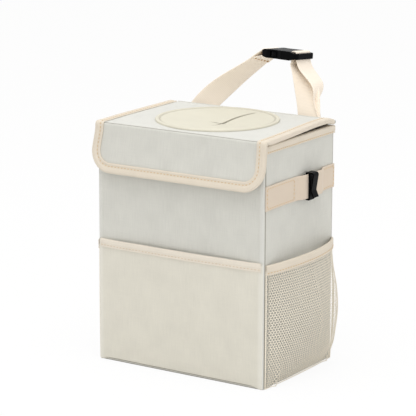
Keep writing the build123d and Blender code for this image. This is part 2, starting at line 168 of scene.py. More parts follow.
class Piece:
    """Collects the points and faces of one piece."""

    def __init__(self):
        self.points = []
        self.faces = []
        self.flat = []
        # Per point: pale is a share of painted highlight, dark a share of painted shade.
        self.pale = {}
        self.dark = {}

    def point(self, place):
        self.points.append(Vector(place))
        return len(self.points) - 1

    def face(self, corners, flat):
        self.faces.append(tuple(corners))
        self.flat.extend(flat)

    def grid(self, rows, flat):
        """A surface through rows of points."""
        ids = [[self.point(p) for p in row] for row in rows]
        for i in range(len(ids) - 1):
            for k in range(len(ids[i]) - 1):
                loop = ((i, k), (i, k + 1), (i + 1, k + 1), (i + 1, k))
                self.face([ids[a][b] for a, b in loop], [flat[a][b] for a, b in loop])
        return ids

    def tube(self, rows, flat):
        """A closed skin over rings of points: flat(i, k) is the place of corner k of ring i on the flat."""
        ids = [[self.point(p) for p in row] for row in rows]
        around = len(ids[0])
        for i in range(len(ids) - 1):
            for k in range(around):
                n = (k + 1) % around
                self.face((ids[i][k], ids[i][n], ids[i + 1][n], ids[i + 1][k]),
                          (flat(i, k), flat(i, k + 1), flat(i + 1, k + 1), flat(i + 1, k)))
        for ring in (ids[0][::-1], ids[-1]):
            self.face(ring, [flat(0, k) for k in range(around)])

    def finish(self, name, material, sharp=40.0):
        mesh = bpy.data.meshes.new(name)
        mesh.from_pydata([p * MM for p in self.points], [], self.faces)
        weave = mesh.uv_layers.new(name="weave")
        weave.data.foreach_set("uv", [value for pair in self.flat for value in pair])
        # Point attributes of painted highlight (pale) and painted shade (dark).
        for shade, values in (("pale", self.pale), ("dark", self.dark)):
            tone = mesh.attributes.new(shade, "FLOAT", "POINT")
            for place, value in values.items():
                tone.data[place].value = value
        work = bmesh.new()
        work.from_mesh(mesh)
        bmesh.ops.delete(work, geom=[v for v in work.verts if not v.link_faces], context="VERTS")
        bmesh.ops.remove_doubles(work, verts=work.verts, dist=weld_gap * MM)
        bmesh.ops.recalc_face_normals(work, faces=work.faces)
        work.to_mesh(mesh)
        work.free()
        mesh.shade_smooth()
        mesh.set_sharp_from_angle(angle=math.radians(sharp))
        mesh.materials.append(material)
        return added(name, mesh)


def cloth(name, material, place, across, along, thick, flat=None, pale=None, keep=None, dark=None):
    """A sheet with both faces and its cut edges: place(u, v, depth) is a point depth below the face."""
    piece = Piece()
    face = [[piece.point(place(u, v, 0.0)) for u in across] for v in along]
    back = [[piece.point(place(u, v, thick)) for u in across] for v in along]
    kept = set()
    for i in range(len(along) - 1):
        for k in range(len(across) - 1):
            middle = ((across[k] + across[k + 1]) / 2, (along[i] + along[i + 1]) / 2)
            if keep is None or keep(*middle):
                kept.add((i, k))

    def on_flat(corners):
        spots = [(across[k], along[i]) for i, k in corners]
        return [flat(*spot) for spot in spots] if flat else spots

    for i, k in sorted(kept):
        loop = [(i, k), (i, k + 1), (i + 1, k + 1), (i + 1, k)]
        piece.face([face[a][b] for a, b in loop], on_flat(loop))
        turned = loop[::-1]
        piece.face([back[a][b] for a, b in turned], on_flat(turned))
        for n, other in enumerate([(i - 1, k), (i, k + 1), (i + 1, k), (i, k - 1)]):
            if other not in kept:
                (a, b), (c, d) = loop[n], loop[(n + 1) % 4]
                rim = (face[c][d], face[a][b], back[a][b], back[c][d])
                piece.face(rim, on_flat([(c, d), (a, b), (a, b), (c, d)]))
    # Painted highlight (pale) and painted shade (dark) for each point of the face.
    for values, shade in ((piece.pale, pale), (piece.dark, dark)):
        if shade:
            for i, v in enumerate(along):
                for k, u in enumerate(across):
                    values[face[i][k]] = shade(u, v)
    return piece.finish(name, material)


def in_place_of(node, piece, body):
    """Lets a piece stand for a CAD node: it rides the node's body, and the node is hidden."""
    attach(piece, body)
    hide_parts(node)


def skin(name, material, rows, around=False, sharp=40.0):
    """A closed skin over rows of points, each row a section; around joins the last row to the first."""
    piece = Piece()
    first = rows[0]
    girth = distances([*first, first[0]])
    travel = distances([row[0] for row in [*rows, rows[0]]])
    ids = [[piece.point(p) for p in row] for row in rows]
    count = len(rows)
    for i in range(count if around else count - 1):
        j = (i + 1) % count
        for k in range(len(first)):
            n = (k + 1) % len(first)
            flat = ((girth[k], travel[i]), (girth[k], travel[i + 1]),
                    (girth[k + 1], travel[i + 1]), (girth[k + 1], travel[i]))
            piece.face((ids[i][k], ids[j][k], ids[j][n], ids[i][n]), flat)
    if not around:
        for row, distance in ((ids[0], 0.0), (ids[-1][::-1], travel[-2])):
            piece.face(row, [(girth[k], distance) for k in range(len(row))])
    return piece.finish(name, material, sharp)


def sweep(name, material, frames, section, around=False):
    """A section of (across, up) points run along frames of (place, across, up)."""
    rows = [[place + across * a + up * b for a, b in section] for place, across, up in frames]
    return skin(name, material, rows, around)


def selvedge(width, thick):
    """Section of a woven band: flat faces and rounded edges."""
    side = width / 2 - thick / 2
    across = steps(-side, side, 10)[1:-1]
    right = arc((side, 0), thick / 2, -90, 90, 6)
    left = arc((-side, 0), thick / 2, 90, 270, 6)
    top = [(x, thick / 2) for x in reversed(across)]
    low = [(x, -thick / 2) for x in across]
    return [*right, *top, *left, *low]


def stitches(name, runs, body, material):
    """Thread along runs of (place, up) points: a row of short raised stitches, sunk at their ends."""
    piece = Piece()
    turns = [2 * math.pi * k / 6 for k in range(6)]
    for run in runs:
        places = [Vector(place) for place, _ in run]
        ups = [Vector(up).normalized() for _, up in run]
        lengths = distances(places)
        count = max(int(lengths[-1] / stitch_pitch), 1)
        pitch = lengths[-1] / count

        def at(distance):
            k = 0
            while k < len(lengths) - 2 and lengths[k + 1] < distance:
                k += 1
            t = (distance - lengths[k]) / max(lengths[k + 1] - lengths[k], 1e-6)
            return places[k].lerp(places[k + 1], t), ups[k].lerp(ups[k + 1], t).normalized()

        for number in range(count):
            middle = (number + 0.5) * pitch
            rows = []
            for turn in steps(-1.0, 1.0, 6):
                place, up = at(middle + turn * stitch_length * pitch / stitch_pitch / 2)
                ahead, _ = at(min(middle + 0.1 + turn, lengths[-1]))
                behind, _ = at(max(middle - 0.1 + turn, 0.0))
                along = (ahead - behind).normalized()
                across = along.cross(up).normalized()
                girth = stitch_radius * math.sqrt(max(1.0 - stitch_taper * turn * turn, 0.05))
                centre = place + up * (stitch_radius * (stitch_rise - stitch_sink * turn ** 4))
                broad = girth * stitch_broad
                rows.append([centre + across * broad * math.cos(a) + up * girth * math.sin(a) for a in turns])
            piece.tube(rows, lambda i, k: (k, i))
    thread = piece.finish(name, material, 80.0)
    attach(thread, body)


# Finishes


def binary(operation, swapped=False):
    def apply(self, other):
        pair = (other, self) if swapped else (self, other)
        return self.nodes.node("Math", {"operation": operation}, dict(enumerate(pair)))
    return apply


def unary(operation):
    def apply(self):
        return self.nodes.node("Math", {"operation": operation}, {0: self})
    return apply


class Value:
    """A shader socket that takes Python arithmetic."""

    def __init__(self, nodes, socket):
        self.nodes = nodes
        self.socket = socket

    __add__ = binary("ADD")
    __radd__ = binary("ADD", True)
    __sub__ = binary("SUBTRACT")
    __rsub__ = binary("SUBTRACT", True)
    __mul__ = binary("MULTIPLY")
    __rmul__ = binary("MULTIPLY", True)
    __truediv__ = binary("DIVIDE")
    __rtruediv__ = binary("DIVIDE", True)
    __mod__ = binary("FLOORED_MODULO")
    __pow__ = binary("POWER")
    at_most = binary("MINIMUM")
    at_least = binary("MAXIMUM")
    sine = unary("SINE")
    floor = unary("FLOOR")
    __abs__ = unary("ABSOLUTE")

    def clipped(self):
        """The value held between 0 and 1."""
        return self.at_most(1.0).at_least(0.0)

    def wave(self, pitch):
        """A smooth wave from 0 to 1 with a crest at each pitch."""
        return (self * (2 * math.pi / pitch)).sine() * 0.5 + 0.5

    def zigzag(self, column):
        """A line that runs up and down in turn, column by column."""
        return abs((self / column) % 2.0 - 1.0) * column


class Nodes:
    """A node tree, and the one way in which nodes are added to it."""

    def __init__(self, tree):
        self.tree = tree

    def node(self, kind, settings, sockets, output=0):
        """Adds a node: first its settings, then the values or links of its sockets."""
        made = self.tree.nodes.new("ShaderNode" + kind)
        for setting, value in settings.items():
            setattr(made, setting, value)
        for socket, value in sockets.items():
            if isinstance(value, Value):
                self.tree.links.new(value.socket, made.inputs[socket])
            else:
                made.inputs[socket].default_value = value
        return Value(self, made.outputs[output])

    def seen(self):
        """1 where the camera looks at it directly, in a reflection or through something clear."""
        camera_ray, glossy_ray, clear_ray = (
            self.node("LightPath", {}, {}, f"Is {kind} Ray") for kind in ("Camera", "Glossy", "Transmission"))
        return camera_ray.at_least(glossy_ray).at_least(clear_ray)

    def show(self, output, share, first, second):
        """Links a mix of two shaders to the output."""
        mixed = self.node("MixShader", {}, {0: share, 1: first, 2: second})
        self.tree.links.new(mixed.socket, self.tree.nodes[output].inputs["Surface"])


class Finish(Nodes):
    """A material, with its Principled shader and the nodes that feed it."""

    def __init__(self, name, **constants):
        self.material = bpy.data.materials.new(name)
        self.material.use_nodes = True
        super().__init__(self.material.node_tree)
        self.shader = self.tree.nodes["Principled BSDF"]
        for socket, value in constants.items():
            self.shader.inputs[socket.replace("_", " ").title().replace("Ior", "IOR")].default_value = value

    def on_cloth(self):
        """Place on the flat cloth, across and along, in millimetres."""
        weave = self.node("UVMap", {"uv_map": "weave"}, {})
        return [self.node("SeparateXYZ", {}, {0: weave}, axis) for axis in (0, 1)]

    def on_piece(self):
        """Place on the piece itself, in metres."""
        return self.node("TexCoord", {}, {}, "Object")

    def joined(self, x, y, z=0.0):
        return self.node("CombineXYZ", {}, {0: x, 1: y, 2: z})

    def uneven(self, place, scale, detail):
        """Soft noise from 0 to 1."""
        return self.node("TexNoise", {}, {"Vector": place, "Scale": scale, "Detail": detail})

    def painted(self, shade):
        """A share of painted highlight (pale) or painted shade (dark) that the piece's points carry."""
        return self.node("Attribute", {"attribute_name": shade}, {}, "Fac")

    def blend(self, share, first, second):
        """A colour between two others."""
        return self.node("Mix", {"data_type": "RGBA"}, {0: share, 6: first, 7: second}, 2)

    def tone(self, share, code, low, high):
        """A colour between a darker and a lighter shade of one code."""
        return self.blend(share, linear(code, low), linear(code, high))

    def made_of(self, colour, roughness, height, distance, strength):
        """Feeds the shader, with a relief whose depth is in metres, and gives the finished material."""
        bump = self.node("Bump", {}, {"Strength": strength, "Distance": distance, "Height": height})
        for socket, value in (("Base Color", colour), ("Roughness", roughness), ("Normal", bump)):
            self.tree.links.new(value.socket, self.shader.inputs[socket])
        return self.material


def linear(code, factor=1.0):
    """A colour of six hexadecimal digits as the linear values that shaders take, times a factor."""
    parts = [int(code[i:i + 2], 16) / 255 for i in (0, 2, 4)]
    values = [((c + 0.055) / 1.055) ** 2.4 if c > 0.04 else c / 12.92 for c in parts]
    return (*[value * factor for value in values], 1.0)


# Colour of painted shade, blended in where a piece's points are dark: shade in seams, creases, slits and gaps, and
# under edges.
painted_shade_tone = "6E6453"


def canvas_finish(name, code, slub, highlight_code):
    """Plain oxford weave with slubs along the warp and a faint mottle, and painted highlight and shade."""
    made = Finish(name, specular_ior_level=0.25, sheen_weight=0.12, sheen_roughness=0.5)
    u, v = made.on_cloth()
    pitch = 0.62
    warp = abs((u * (math.pi / pitch)).sine())
    weft = abs((v * (math.pi / pitch)).sine())
    over = ((u / pitch).floor() + (v / pitch).floor()) % 2.0
    threads = warp * over + weft * (1.0 - over)
    streak = made.uneven(made.joined(u * 1.1, v * 0.055), 1.0, 4.0)
    cross = made.uneven(made.joined(u * 0.05, v * 1.2, 7.0), 1.0, 3.0)
    mottle = made.uneven(made.joined(u, v, 3.0), 0.045, 3.0)
    share = (streak - 0.5) * slub + (cross - 0.5) * (0.5 * slub) + (mottle - 0.5) * 0.5 + 0.5
    tone = made.tone(share.clipped(), code, 0.84, 1.13)
    tone = made.blend((1.0 - threads) * 0.16, tone, linear(code, 0.62))
    # Painted highlight where the points are pale, and painted shade where they are dark.
    tone = made.blend(made.painted("pale"), tone, linear(highlight_code))
    tone = made.blend(made.painted("dark"), tone, linear(painted_shade_tone))
    return made.made_of(tone, 0.92 - threads * 0.1, threads + streak * 0.9 + cross * 0.5, 0.00016, 0.75)


def tape_finish(name, code, column, pitch, relief):
    """Herringbone tape: slanted ridges that turn at each column."""
    made = Finish(name, specular_ior_level=0.25, sheen_weight=0.15, sheen_roughness=0.5)
    u, v = made.on_cloth()
    ridge = (v + u.zigzag(column)).wave(pitch)
    seam = abs((u / column) % 1.0 - 0.5) * 2.0
    fibre = made.uneven(made.joined(u, v, 1.0), 1.4, 3.0)
    mottle = made.uneven(made.joined(u, v, 5.0), 0.06, 2.0)
    share = (ridge - 0.5) * 0.35 + (mottle - 0.5) * 0.4 + (fibre - 0.5) * 0.3 + 0.5
    tone = made.tone(share.clipped(), code, 0.84, 1.1)
    tone = made.blend((seam ** 8.0) * 0.18, tone, linear(code, 0.7))
    return made.made_of(tone, 0.9 - ridge * 0.12, ridge + fibre * 0.4 - (seam ** 6.0) * 0.5, relief, 0.8)


def webbing_finish(name, code):
    """Ribbed webbing: fine ribs across the band, and slanted floats along it."""
    made = Finish(name, specular_ior_level=0.25, sheen_weight=0.15, sheen_roughness=0.5)
    u, v = made.on_cloth()
    rib = v.wave(1.7)
    float_line = (v + u.zigzag(1.6)).wave(0.85)
    fibre = made.uneven(made.joined(u * 1.5, v * 1.5, 2.0), 1.0, 3.0)
    mottle = made.uneven(made.joined(u, v * 0.4, 9.0), 0.08, 2.0)
    share = (rib - 0.5) * 0.3 + (float_line - 0.5) * 0.2 + (mottle - 0.5) * 0.4 + (fibre - 0.5) * 0.2 + 0.5
    tone = made.tone(share.clipped(), code, 0.91, 1.07)
    return made.made_of(tone, 0.9 - rib * 0.12, rib + float_line * 0.5 + fibre * 0.3, 0.0001, 0.5)


def thread_finish(name, code, twist):
    """Spun thread with a slanted ply."""
    made = Finish(name, specular_ior_level=0.3, sheen_weight=0.2, sheen_roughness=0.4)
    u, v = made.on_cloth()
    ply = ((u + v * twist) * 2.1).sine() * 0.5 + 0.5
    fibre = made.uneven(made.on_piece(), 900.0, 3.0)
    tone = made.tone(ply * 0.5 + fibre * 0.5, code, 0.78, 1.12)
    return made.made_of(tone, 0.62 + fibre * 0.2, ply + fibre, 0.00012, 0.6)


def rubber_finish(name, code):
    """Soft moulded sheet with a fine matte grain and slight cloudiness."""
    made = Finish(name, specular_ior_level=0.15)
    place = made.on_piece()
    cloud = made.uneven(place, 28.0, 3.0)
    grain = made.uneven(place, 2600.0, 2.0)
    tone = made.tone(cloud, code, 0.93, 1.06)
    # Painted shade in the ring's groove and beside the slits.
    tone = made.blend(made.painted("dark"), tone, linear(painted_shade_tone))
    return made.made_of(tone, 0.5 + cloud * 0.12 + grain * 0.1, grain + cloud * 0.6, 0.00006, 0.5)


def plastic_finish(name, code, shine):
    """Moulded plastic: fine spark-eroded grain, with smooth rubbed places."""
    made = Finish(name, specular_ior_level=0.05)
    place = made.on_piece()
    grain = made.node("TexVoronoi", {}, {"Vector": place, "Scale": 2600.0}, "Distance")
    rubbed = made.uneven(place, 130.0, 4.0)
    scuff = made.uneven(place, 700.0, 2.0)
    worn = ((rubbed - 0.55) * 4.0).clipped()
    tone = made.tone(worn * 0.5 + scuff * 0.2, code, 1.0, 2.2)
    return made.made_of(tone, shine + worn * 0.14 + scuff * 0.08, grain * (1.0 - worn * 0.6), 0.00005, 0.35)


def lining_finish(name, code):
    """Black waterproof film with fine creases."""
    made = Finish(name, specular_ior_level=0.4)
    place = made.on_piece()
    fold = made.uneven(place, 38.0, 5.0)
    crease = made.node("TexVoronoi", {"feature": "DISTANCE_TO_EDGE"}, {"Vector": place, "Scale": 55.0})
    weave = made.uneven(place, 1500.0, 2.0)
    height = fold * 2.0 + (crease * 6.0).at_most(1.0) * 0.5 + weave * 0.15
    return made.made_of(made.tone(fold, code, 1.0, 1.9), 0.34 + fold * 0.2, height, 0.0006, 0.5)


def board_finish(name, code):
    """Pressed board: a fibrous face with specks."""
    made = Finish(name, specular_ior_level=0.3)
    place = made.on_piece()
    fibre = made.uneven(place, 420.0, 5.0)
    speck = made.uneven(place, 1400.0, 2.0)
    tone = made.tone(fibre * 0.7 + speck * 0.3, code, 0.8, 1.1)
    return made.made_of(tone, 0.75 + speck * 0.2, fibre, 0.0002, 0.4)


# The last colour of each canvas is its painted highlight.
canvas = canvas_finish("canvas", "D8D7CF", 0.55, "E6E6E3")
pocket_canvas = canvas_finish("pocket_canvas", "E1DDD0", 0.4, "E6E3D9")
binding = tape_finish("binding_tape", "E2D7C6", 2.6, 1.25, 0.00022)
pocket_binding = tape_finish("pocket_tape", "E6DDCF", 2.6, 1.25, 0.0002)
# One webbing in two copies: a lighter lit copy for the straps and a darker shaded copy for the side bands.
webbing = webbing_finish("lit_strap_webbing", "F4E8D8")
shaded_band_webbing = webbing_finish("shaded_band_webbing", "D5C6B4")
net_thread = thread_finish("net_thread", "F0E7D5", 1.3)
sewing_thread = thread_finish("sewing_thread", "D9BE96", 1.0)
bar_thread = thread_finish("bar_thread", "C0935A", 1.0)
pale_thread = thread_finish("pale_thread", "DDCDB7", 1.0)
cream_rubber = rubber_finish("cream_rubber", "D3CFBF")
black_plastic = plastic_finish("black_plastic", "040405", 0.34)
black_lining = lining_finish("black_lining", "0E0E0F")
stiff_board = board_finish("stiff_board", "DAD8D0")
touch_tape = thread_finish("touch_tape", "E0D6C5", 0.6)


# Setting: places and sides of floor and lamps are in metres
white = (1.0, 1.0, 1.0, 1.0)
floor_side = 4.0
floor_tone = (0.86, 0.86, 0.86, 1.0)
floor_white = 0.9
room_tone = (1.0, 0.995, 0.985, 1.0)
room_light = 0.86
lamps = {
    "top_lamp": {"place": (0.05, -0.38, 1.9), "side": 1.4, "power": 16.0},
    "side_lamp": {"place": (1.7, -0.9, 0.7), "side": 1.2, "power": 3.4},
}


def pale_floor():
    made = Finish("pale_floor", base_color=floor_tone, roughness=0.9)
    matte = Value(made, made.shader.outputs[0])
    bright = made.node("Emission", {}, {"Color": white, "Strength": 1.0})
    made.show("Material Output", made.seen() * floor_white, matte, bright)
    corners = [(x * floor_side, y * floor_side, 0) for x, y in ((-1, -1), (1, -1), (1, 1), (-1, 1))]
    mesh = bpy.data.meshes.new("floor")
    mesh.from_pydata(corners, [], [(0, 1, 2, 3)])
    mesh.materials.append(made.material)
    added("floor", mesh)


def bright_room():
    world = bpy.data.worlds.new("room")
    world.use_nodes = True
    bpy.context.scene.world = world
    room = Nodes(world.node_tree)
    room.tree.nodes.remove(room.tree.nodes["Background"])
    light = room.node("Background", {}, {"Color": room_tone, "Strength": room_light})
    backdrop = room.node("Background", {}, {"Color": white, "Strength": 1.0})
    room.show("World Output", room.seen(), light, backdrop)


def soft_lamps():
    for name, lamp in lamps.items():
        panel = bpy.data.lights.new(name, "AREA")
        panel.size = lamp["side"]
        panel.energy = lamp["power"]
        holder = added(name, panel)
        holder.location = lamp["place"]
        aim = Vector((0, 0, rim_top * MM / 2)) - holder.location
        holder.rotation_euler = aim.to_track_quat("-Z", "Y").to_euler()


pale_floor()
bright_room()
soft_lamps()

# The photograph's view: frame side in pixels, and where its optical axis meets it
frame_side = 416
axis_place = (183.63, 208.34)
focal_pixels = 2110.45
view_turn = math.radians(33.43)
view_height = math.radians(13.23)
view_distance = 2200.0
view_target = Vector((-39.8, 0.0, 155.55))


def camera():
    lens = bpy.data.cameras.new("camera")
    lens.sensor_width = 36.0
    lens.lens = focal_pixels * lens.sensor_width / frame_side
    lens.shift_x = (frame_side / 2 - axis_place[0]) / frame_side
    lens.shift_y = (axis_place[1] - frame_side / 2) / frame_side
    level = math.cos(view_height)
    back = Vector((math.sin(view_turn) * level, -math.cos(view_turn) * level, math.sin(view_height)))
    holder = added("camera", lens)
    holder.location = (view_target + back * view_distance) * MM
    holder.rotation_euler = (-back).to_track_quat("-Z", "Y").to_euler()
    bpy.context.scene.camera = holder


camera()
bpy.context.scene.view_settings.view_transform = "Standard"

# Walls of the box
walls = {
    "front": (Vector((0, -1, 0)), Vector((1, 0, 0)), half_width - 0.4, half_depth),
    "back": (Vector((0, 1, 0)), Vector((-1, 0, 0)), half_width - 0.4, half_depth),
    "right_side": (Vector((1, 0, 0)), Vector((0, 1, 0)), half_depth - corner_roll, half_width),
    "left_side": (Vector((-1, 0, 0)), Vector((0, -1, 0)), half_depth - corner_roll, half_width),
}
upward = Vector((0, 0, 1))
seam_width = 4.6
seam_raise = 0.35
# Painted highlight along the seam strips at the sides of the front and back walls.
seam_highlight = 0.28
far_seam_highlight = 0.2
# Painted shade in the corner seams of the side walls.
corner_seam_shade = 0.7
edge_band = 6.0
wall_hollow = 0.45
wall_wave = 0.5
wall_crease = 0.18
base_hollow = 0.35
base_wave = 0.3
foot_gap = 2.2
# Painted shadow along the pocket's lower edge, under the lifted foot.
foot_shade = 0.9
mouth_drop = 1.2
# Painted shadow above the pocket's mouth, and painted shade on the side walls below the nets' mouths.
mouth_shade = 0.1
net_shade = 0.2
pocket_mouth = limits("front_pocket_binding", "Z")[1] - mouth_drop
net_mouth = limits("right_mesh_binding", "Z")[0]


def foot_lift(edge, z):
    """The front's lower edge stands off the ground between its corners."""
    return foot_gap * smooth(1, 14, edge) * (1 - smooth(0, 16, z))


def fine_edges(half, count):
    """Places across a panel, closer together in the bands along both sides."""
    inner = half - edge_band
    return stretches(-half, (-inner, 12), (inner, count), (half, 12))


def wall_canvas(side, seed):
    outward, right, half, distance = walls[side]
    front = side in ("front", "back")

    def place(u, v, depth):
        into = max(abs(u) - (half - corner_roll), 0.0)
        drop = rolled(corner_roll, into) + rolled(foot_roll, foot_roll - v)
        edge = half - abs(u)
        calm = smooth(2, 26, edge) * smooth(2, 30, v) * smooth(0, 24, rim_low - v)
        uneven = wall_wave * ripple(u, v, 62, seed) + wall_crease * ripple(u, v, 21, seed + 3)
        drop += calm * (wall_hollow + uneven)
        if front:
            drop -= seam_raise * (1 - smooth(seam_width - 0.3, seam_width + 0.6, edge))
        turn = into / corner_roll
        inward = depth * math.sqrt(max(1 - turn * turn, 0.0))
        shift = u - math.copysign(depth * turn, u)
        high = v + foot_lift(edge, v) if side == "front" else v
        return outward * (distance - drop - inward) + right * shift + upward * high

    # Painted highlight on the raised seam strips, stronger towards +u.
    def pale(u, v):
        edge = half - abs(u)
        most = seam_highlight if u > 0 else far_seam_highlight
        return most * (1 - smooth(seam_width - 0.4, seam_width + 0.5, edge)) if front else 0.0

    # Painted shade: a shadow line above the pocket's mouth, the corner seams, and the side walls in the nets'
    # shade.
    def dark(u, v):
        if side == "front":
            return mouth_shade * hump(v, pocket_mouth + 0.2, 1.0)
        if front:
            return 0.0
        seam = corner_seam_shade * (1 - smooth(0.5, 1.5, half - abs(u)))
        return max(seam, net_shade * (1 - smooth(net_mouth - 8, net_mouth + 2, v)))

    across = fine_edges(half, 36)
    below, above = pocket_mouth - 3, pocket_mouth + 4
    along = stretches(0, (foot_roll, 5), (below, 26), (above, 9), (wall_top, 26))
    panel = cloth(f"{side}_canvas", canvas, place, across, along, canvas_thick, pale=pale, dark=dark)
    in_place_of(f"{side}_panel", panel, "bin")


for number, side in enumerate(walls):
    wall_canvas(side, 11.0 * number)


def base_canvas():
    inset = canvas_thick + 0.6
    half_x, half_y = half_width - inset, half_depth - inset

    def from_edge(u, v):
        return min(half_x - abs(u), half_y - abs(v))

    def place(u, v, depth):
        lift = smooth(0, 14, from_edge(u, v)) * (base_hollow + base_wave * ripple(u, v, 40, 5.0))
        return Vector((-u, v, depth + lift))

    # Painted shade along the base's edges, seen in the gap under the front's foot.
    def dark(u, v):
        return 1 - smooth(4, 6, from_edge(u, v))

    across, along = fine_edges(half_x, 36), fine_edges(half_y, 28)
    base = cloth("base_canvas", canvas, place, across, along, canvas_thick, dark=dark)
    in_place_of("base_panel", base, "bin")


base_canvas()

# Tape round the rim: an outer leg, a rounded top and an inner leg
film = 0.6
wall_thick = half_width - liner_half_width + film
rim_stitch = 3.4
rim_wave = 0.22
rim_stitch_wave = 0.2


def ring_frames(half_x, half_y, count):
    """Stations round a rectangle, seen from above, with short round corners."""
    corners = [(half_x, -half_y), (half_x, half_y), (-half_x, half_y), (-half_x, -half_y)]
    outs = [Vector((1, 0, 0)), Vector((0, 1, 0)), Vector((-1, 0, 0)), Vector((0, -1, 0))]
    ease = 0.6
    frames = []
    for k in range(4):
        start = Vector((*corners[k], 0))
        stop = Vector((*corners[(k + 1) % 4], 0))
        run = (stop - start).normalized()
        out = outs[k]
        for t in steps(0, 1, count):
            frames.append((start.lerp(stop, t) + run * ease * (1 - 2 * t), out, upward))
        frames.append((stop, (out + outs[(k + 1) % 4]) * 0.95, upward))
    return frames


def rim_tape():
    inner = -wall_thick - tape
    top = rim_top - rim_low
    section = [
        (0.1, 1.9), (tape, 1.9), (tape + 0.1, 2.3), (tape - 0.05, 2.9), (tape - 0.2, rim_stitch),
        (tape - 0.05, 4.0), (tape + 0.1, 4.8), (tape + 0.15, top - 2.2),
        *arc((tape - 1.4, top - 1.4), 1.5, 0, 90, 4), *arc((inner + 1.4, top - 1.4), 1.4, 90, 180, 4),
        (inner, 1.0), (inner + 0.2, 0.2), (-wall_thick, 0.0), (-wall_thick, top - tape), (0.1, top - tape),
    ]
    frames = []
    for place, across, up in ring_frames(half_width, half_depth, 20):
        wave = rim_wave * ripple(place.x, place.y, 26, 8.0)
        frames.append((place + up * (rim_low + wave), across, up))
    rim = sweep("rim_tape", binding, frames, section, around=True)
    in_place_of("rim_binding", rim, "bin")
    runs = []
    for outward, right, half, distance in walls.values():
        seat = distance + tape - 0.1
        ends = half - 1.5
        run = []
        for u in steps(-ends, ends, 24):
            height = rim_low + rim_stitch + rim_stitch_wave * ripple(u, seat, 26, 8.0)
            run.append((outward * seat + right * u + upward * height, outward))
        runs.append(run)
    stitches("rim_stitches", runs, "bin", sewing_thread)


rim_tape()

# Lid: one sheet over the top and down the front, placed by its distance s along the cloth from the hinge line
fold_radius = flap_slab + 0.3
flap_corner = 23.0
lid_run = hinge_y - flap_front - fold_radius
fold_length = fold_radius * math.pi / 2
flap_run = lid_top - fold_radius - flap_bottom
lid_length = lid_run + fold_length + flap_run
corner_start = lid_length - flap_corner
fold_end = lid_run + fold_length
fold_middle = lid_run + fold_length / 2
fold_seam = lid_run + 1.1
fold_crease = 0.9
fold_puff = 0.3
rear_roll = 0.92
lid_wave = 0.28
lid_sink = 0.2
edge_lift = 3.0
lift_start = cover_radius + 4.0
flap_flare = 4.5
fold_drift = 1.9
fold_pull = 0.2
flap_spread = 2.6
# Painted highlight over the lid's top, and painted shade along the fold's crease.
lid_top_highlight = 0.3
fold_shade = 0.75
lid_tape_width = 10.0
lid_tape_start = 1.5
lid_seam = lid_tape_width - 3.4


def lid_line(s):
    """Outer face of the lid in side view: its place and the way out of it."""
    if s < 0:
        turn = -2 * s / lid_slab
        out = (math.sin(turn), math.cos(turn))
        return (hinge_y + out[0] * lid_slab / 2, hinge_z + out[1] * lid_slab / 2), out
    if s < lid_run:
        return (hinge_y - s, lid_top), (0.0, 1.0)
    bend = s - lid_run
    if bend < fold_length:
        turn = bend / fold_radius
        out = (-math.sin(turn), math.cos(turn))
        centre_y, centre_z = flap_front + fold_radius, lid_top - fold_radius
        return (centre_y + out[0] * fold_radius, centre_z + out[1] * fold_radius), out
    return (flap_front, lid_top - fold_radius - bend + fold_length), (-1.0, 0.0)


def lid_point(x, s, depth):
    """A place in the lid, depth below its outer face, with the lid's slight warp."""
    (y, z), out = lid_line(s)
    place = Vector((x, y - depth * out[0], z - depth * out[1]))
    left = smooth(0, lid_side, -x)
    at_fold = hump(s, fold_middle, 34)
    place.x += at_fold * (fold_drift + fold_pull * left)
    hang = max(s - fold_end, 0.0) / flap_run
    place.y -= flap_flare * hang ** 2.2
    place.x -= flap_spread * smooth(0.0, 0.55, hang) * left
    place.z += edge_lift * smooth(lift_start, lid_side, x) * hump(s, 24, 54) * smooth(0, 12, s)
    return place


def lid_out(x, s):
    return lid_point(x, s, -1.0) - lid_point(x, s, 0.0)


def lid_half(s):
    """Half the width of the cloth, which narrows round the flap's lower corners."""
    return lid_side - rolled(flap_corner, s - corner_start)


def lid_depth(s):
    """Thickness of the lid: thinner in the flap."""
    return lid_slab + (flap_slab - lid_slab) * smooth(lid_run - 6, lid_run, s)


port_radius = 56.0
port_trim = 1.6
lid_rows = stretches(0, (lid_run - 4, 44), (fold_end + 2, 48), (corner_start, 10), (lid_length, 16))
lid_columns = steps(-1.0, 1.0, 60)


def round_port(place, s):
    """Draws points inside the round port out to its edge."""
    if s > lid_run:
        return place
    away = Vector((place.x, place.y - cover_y))
    if away.length >= port_radius:
        return place
    away *= port_radius / max(away.length, 1e-6)
    return Vector((away.x, cover_y + away.y, place.z))


def clear_of_port(u, s):
    """Whether a cell of the lid's cloth, whose corners round_port draws out, is kept."""
    if s > lid_run:
        return True
    return math.hypot(u * lid_half(s), hinge_y - s - cover_y) > port_radius - port_trim


def lid_canvas():
    def place(u, s, depth):
        half = lid_half(s)
        x = u * half
        calm = smooth(0, 18, half - abs(x)) * smooth(0, 16, s)
        wave = calm * (lid_wave * ripple(x, s, 48, 21.0) - lid_sink)
        crease = fold_crease * hump(s, fold_seam, 0.55) - fold_puff * hump(s, fold_seam - 1.8, 0.9)
        return round_port(lid_point(x, s, depth - wave + crease), s)

    rows = [*steps(-math.pi * lid_slab / 2 * rear_roll, 0, 10)[:-1], *lid_rows]
    # The lid's top is painted lighter up to the fold as if lit from above, and the fold's crease is painted dark
    # as shade.
    panel = cloth("lid_canvas", canvas, place, lid_columns, rows, canvas_thick,
                  flat=lambda u, s: (u * lid_half(s), s), keep=clear_of_port,
                  pale=lambda u, s: lid_top_highlight * (1 - smooth(fold_seam - 0.4, fold_seam + 0.4, s)),
                  dark=lambda u, s: fold_shade * hump(s, fold_seam, 0.5))
    in_place_of("lid_panel", panel, "lid")


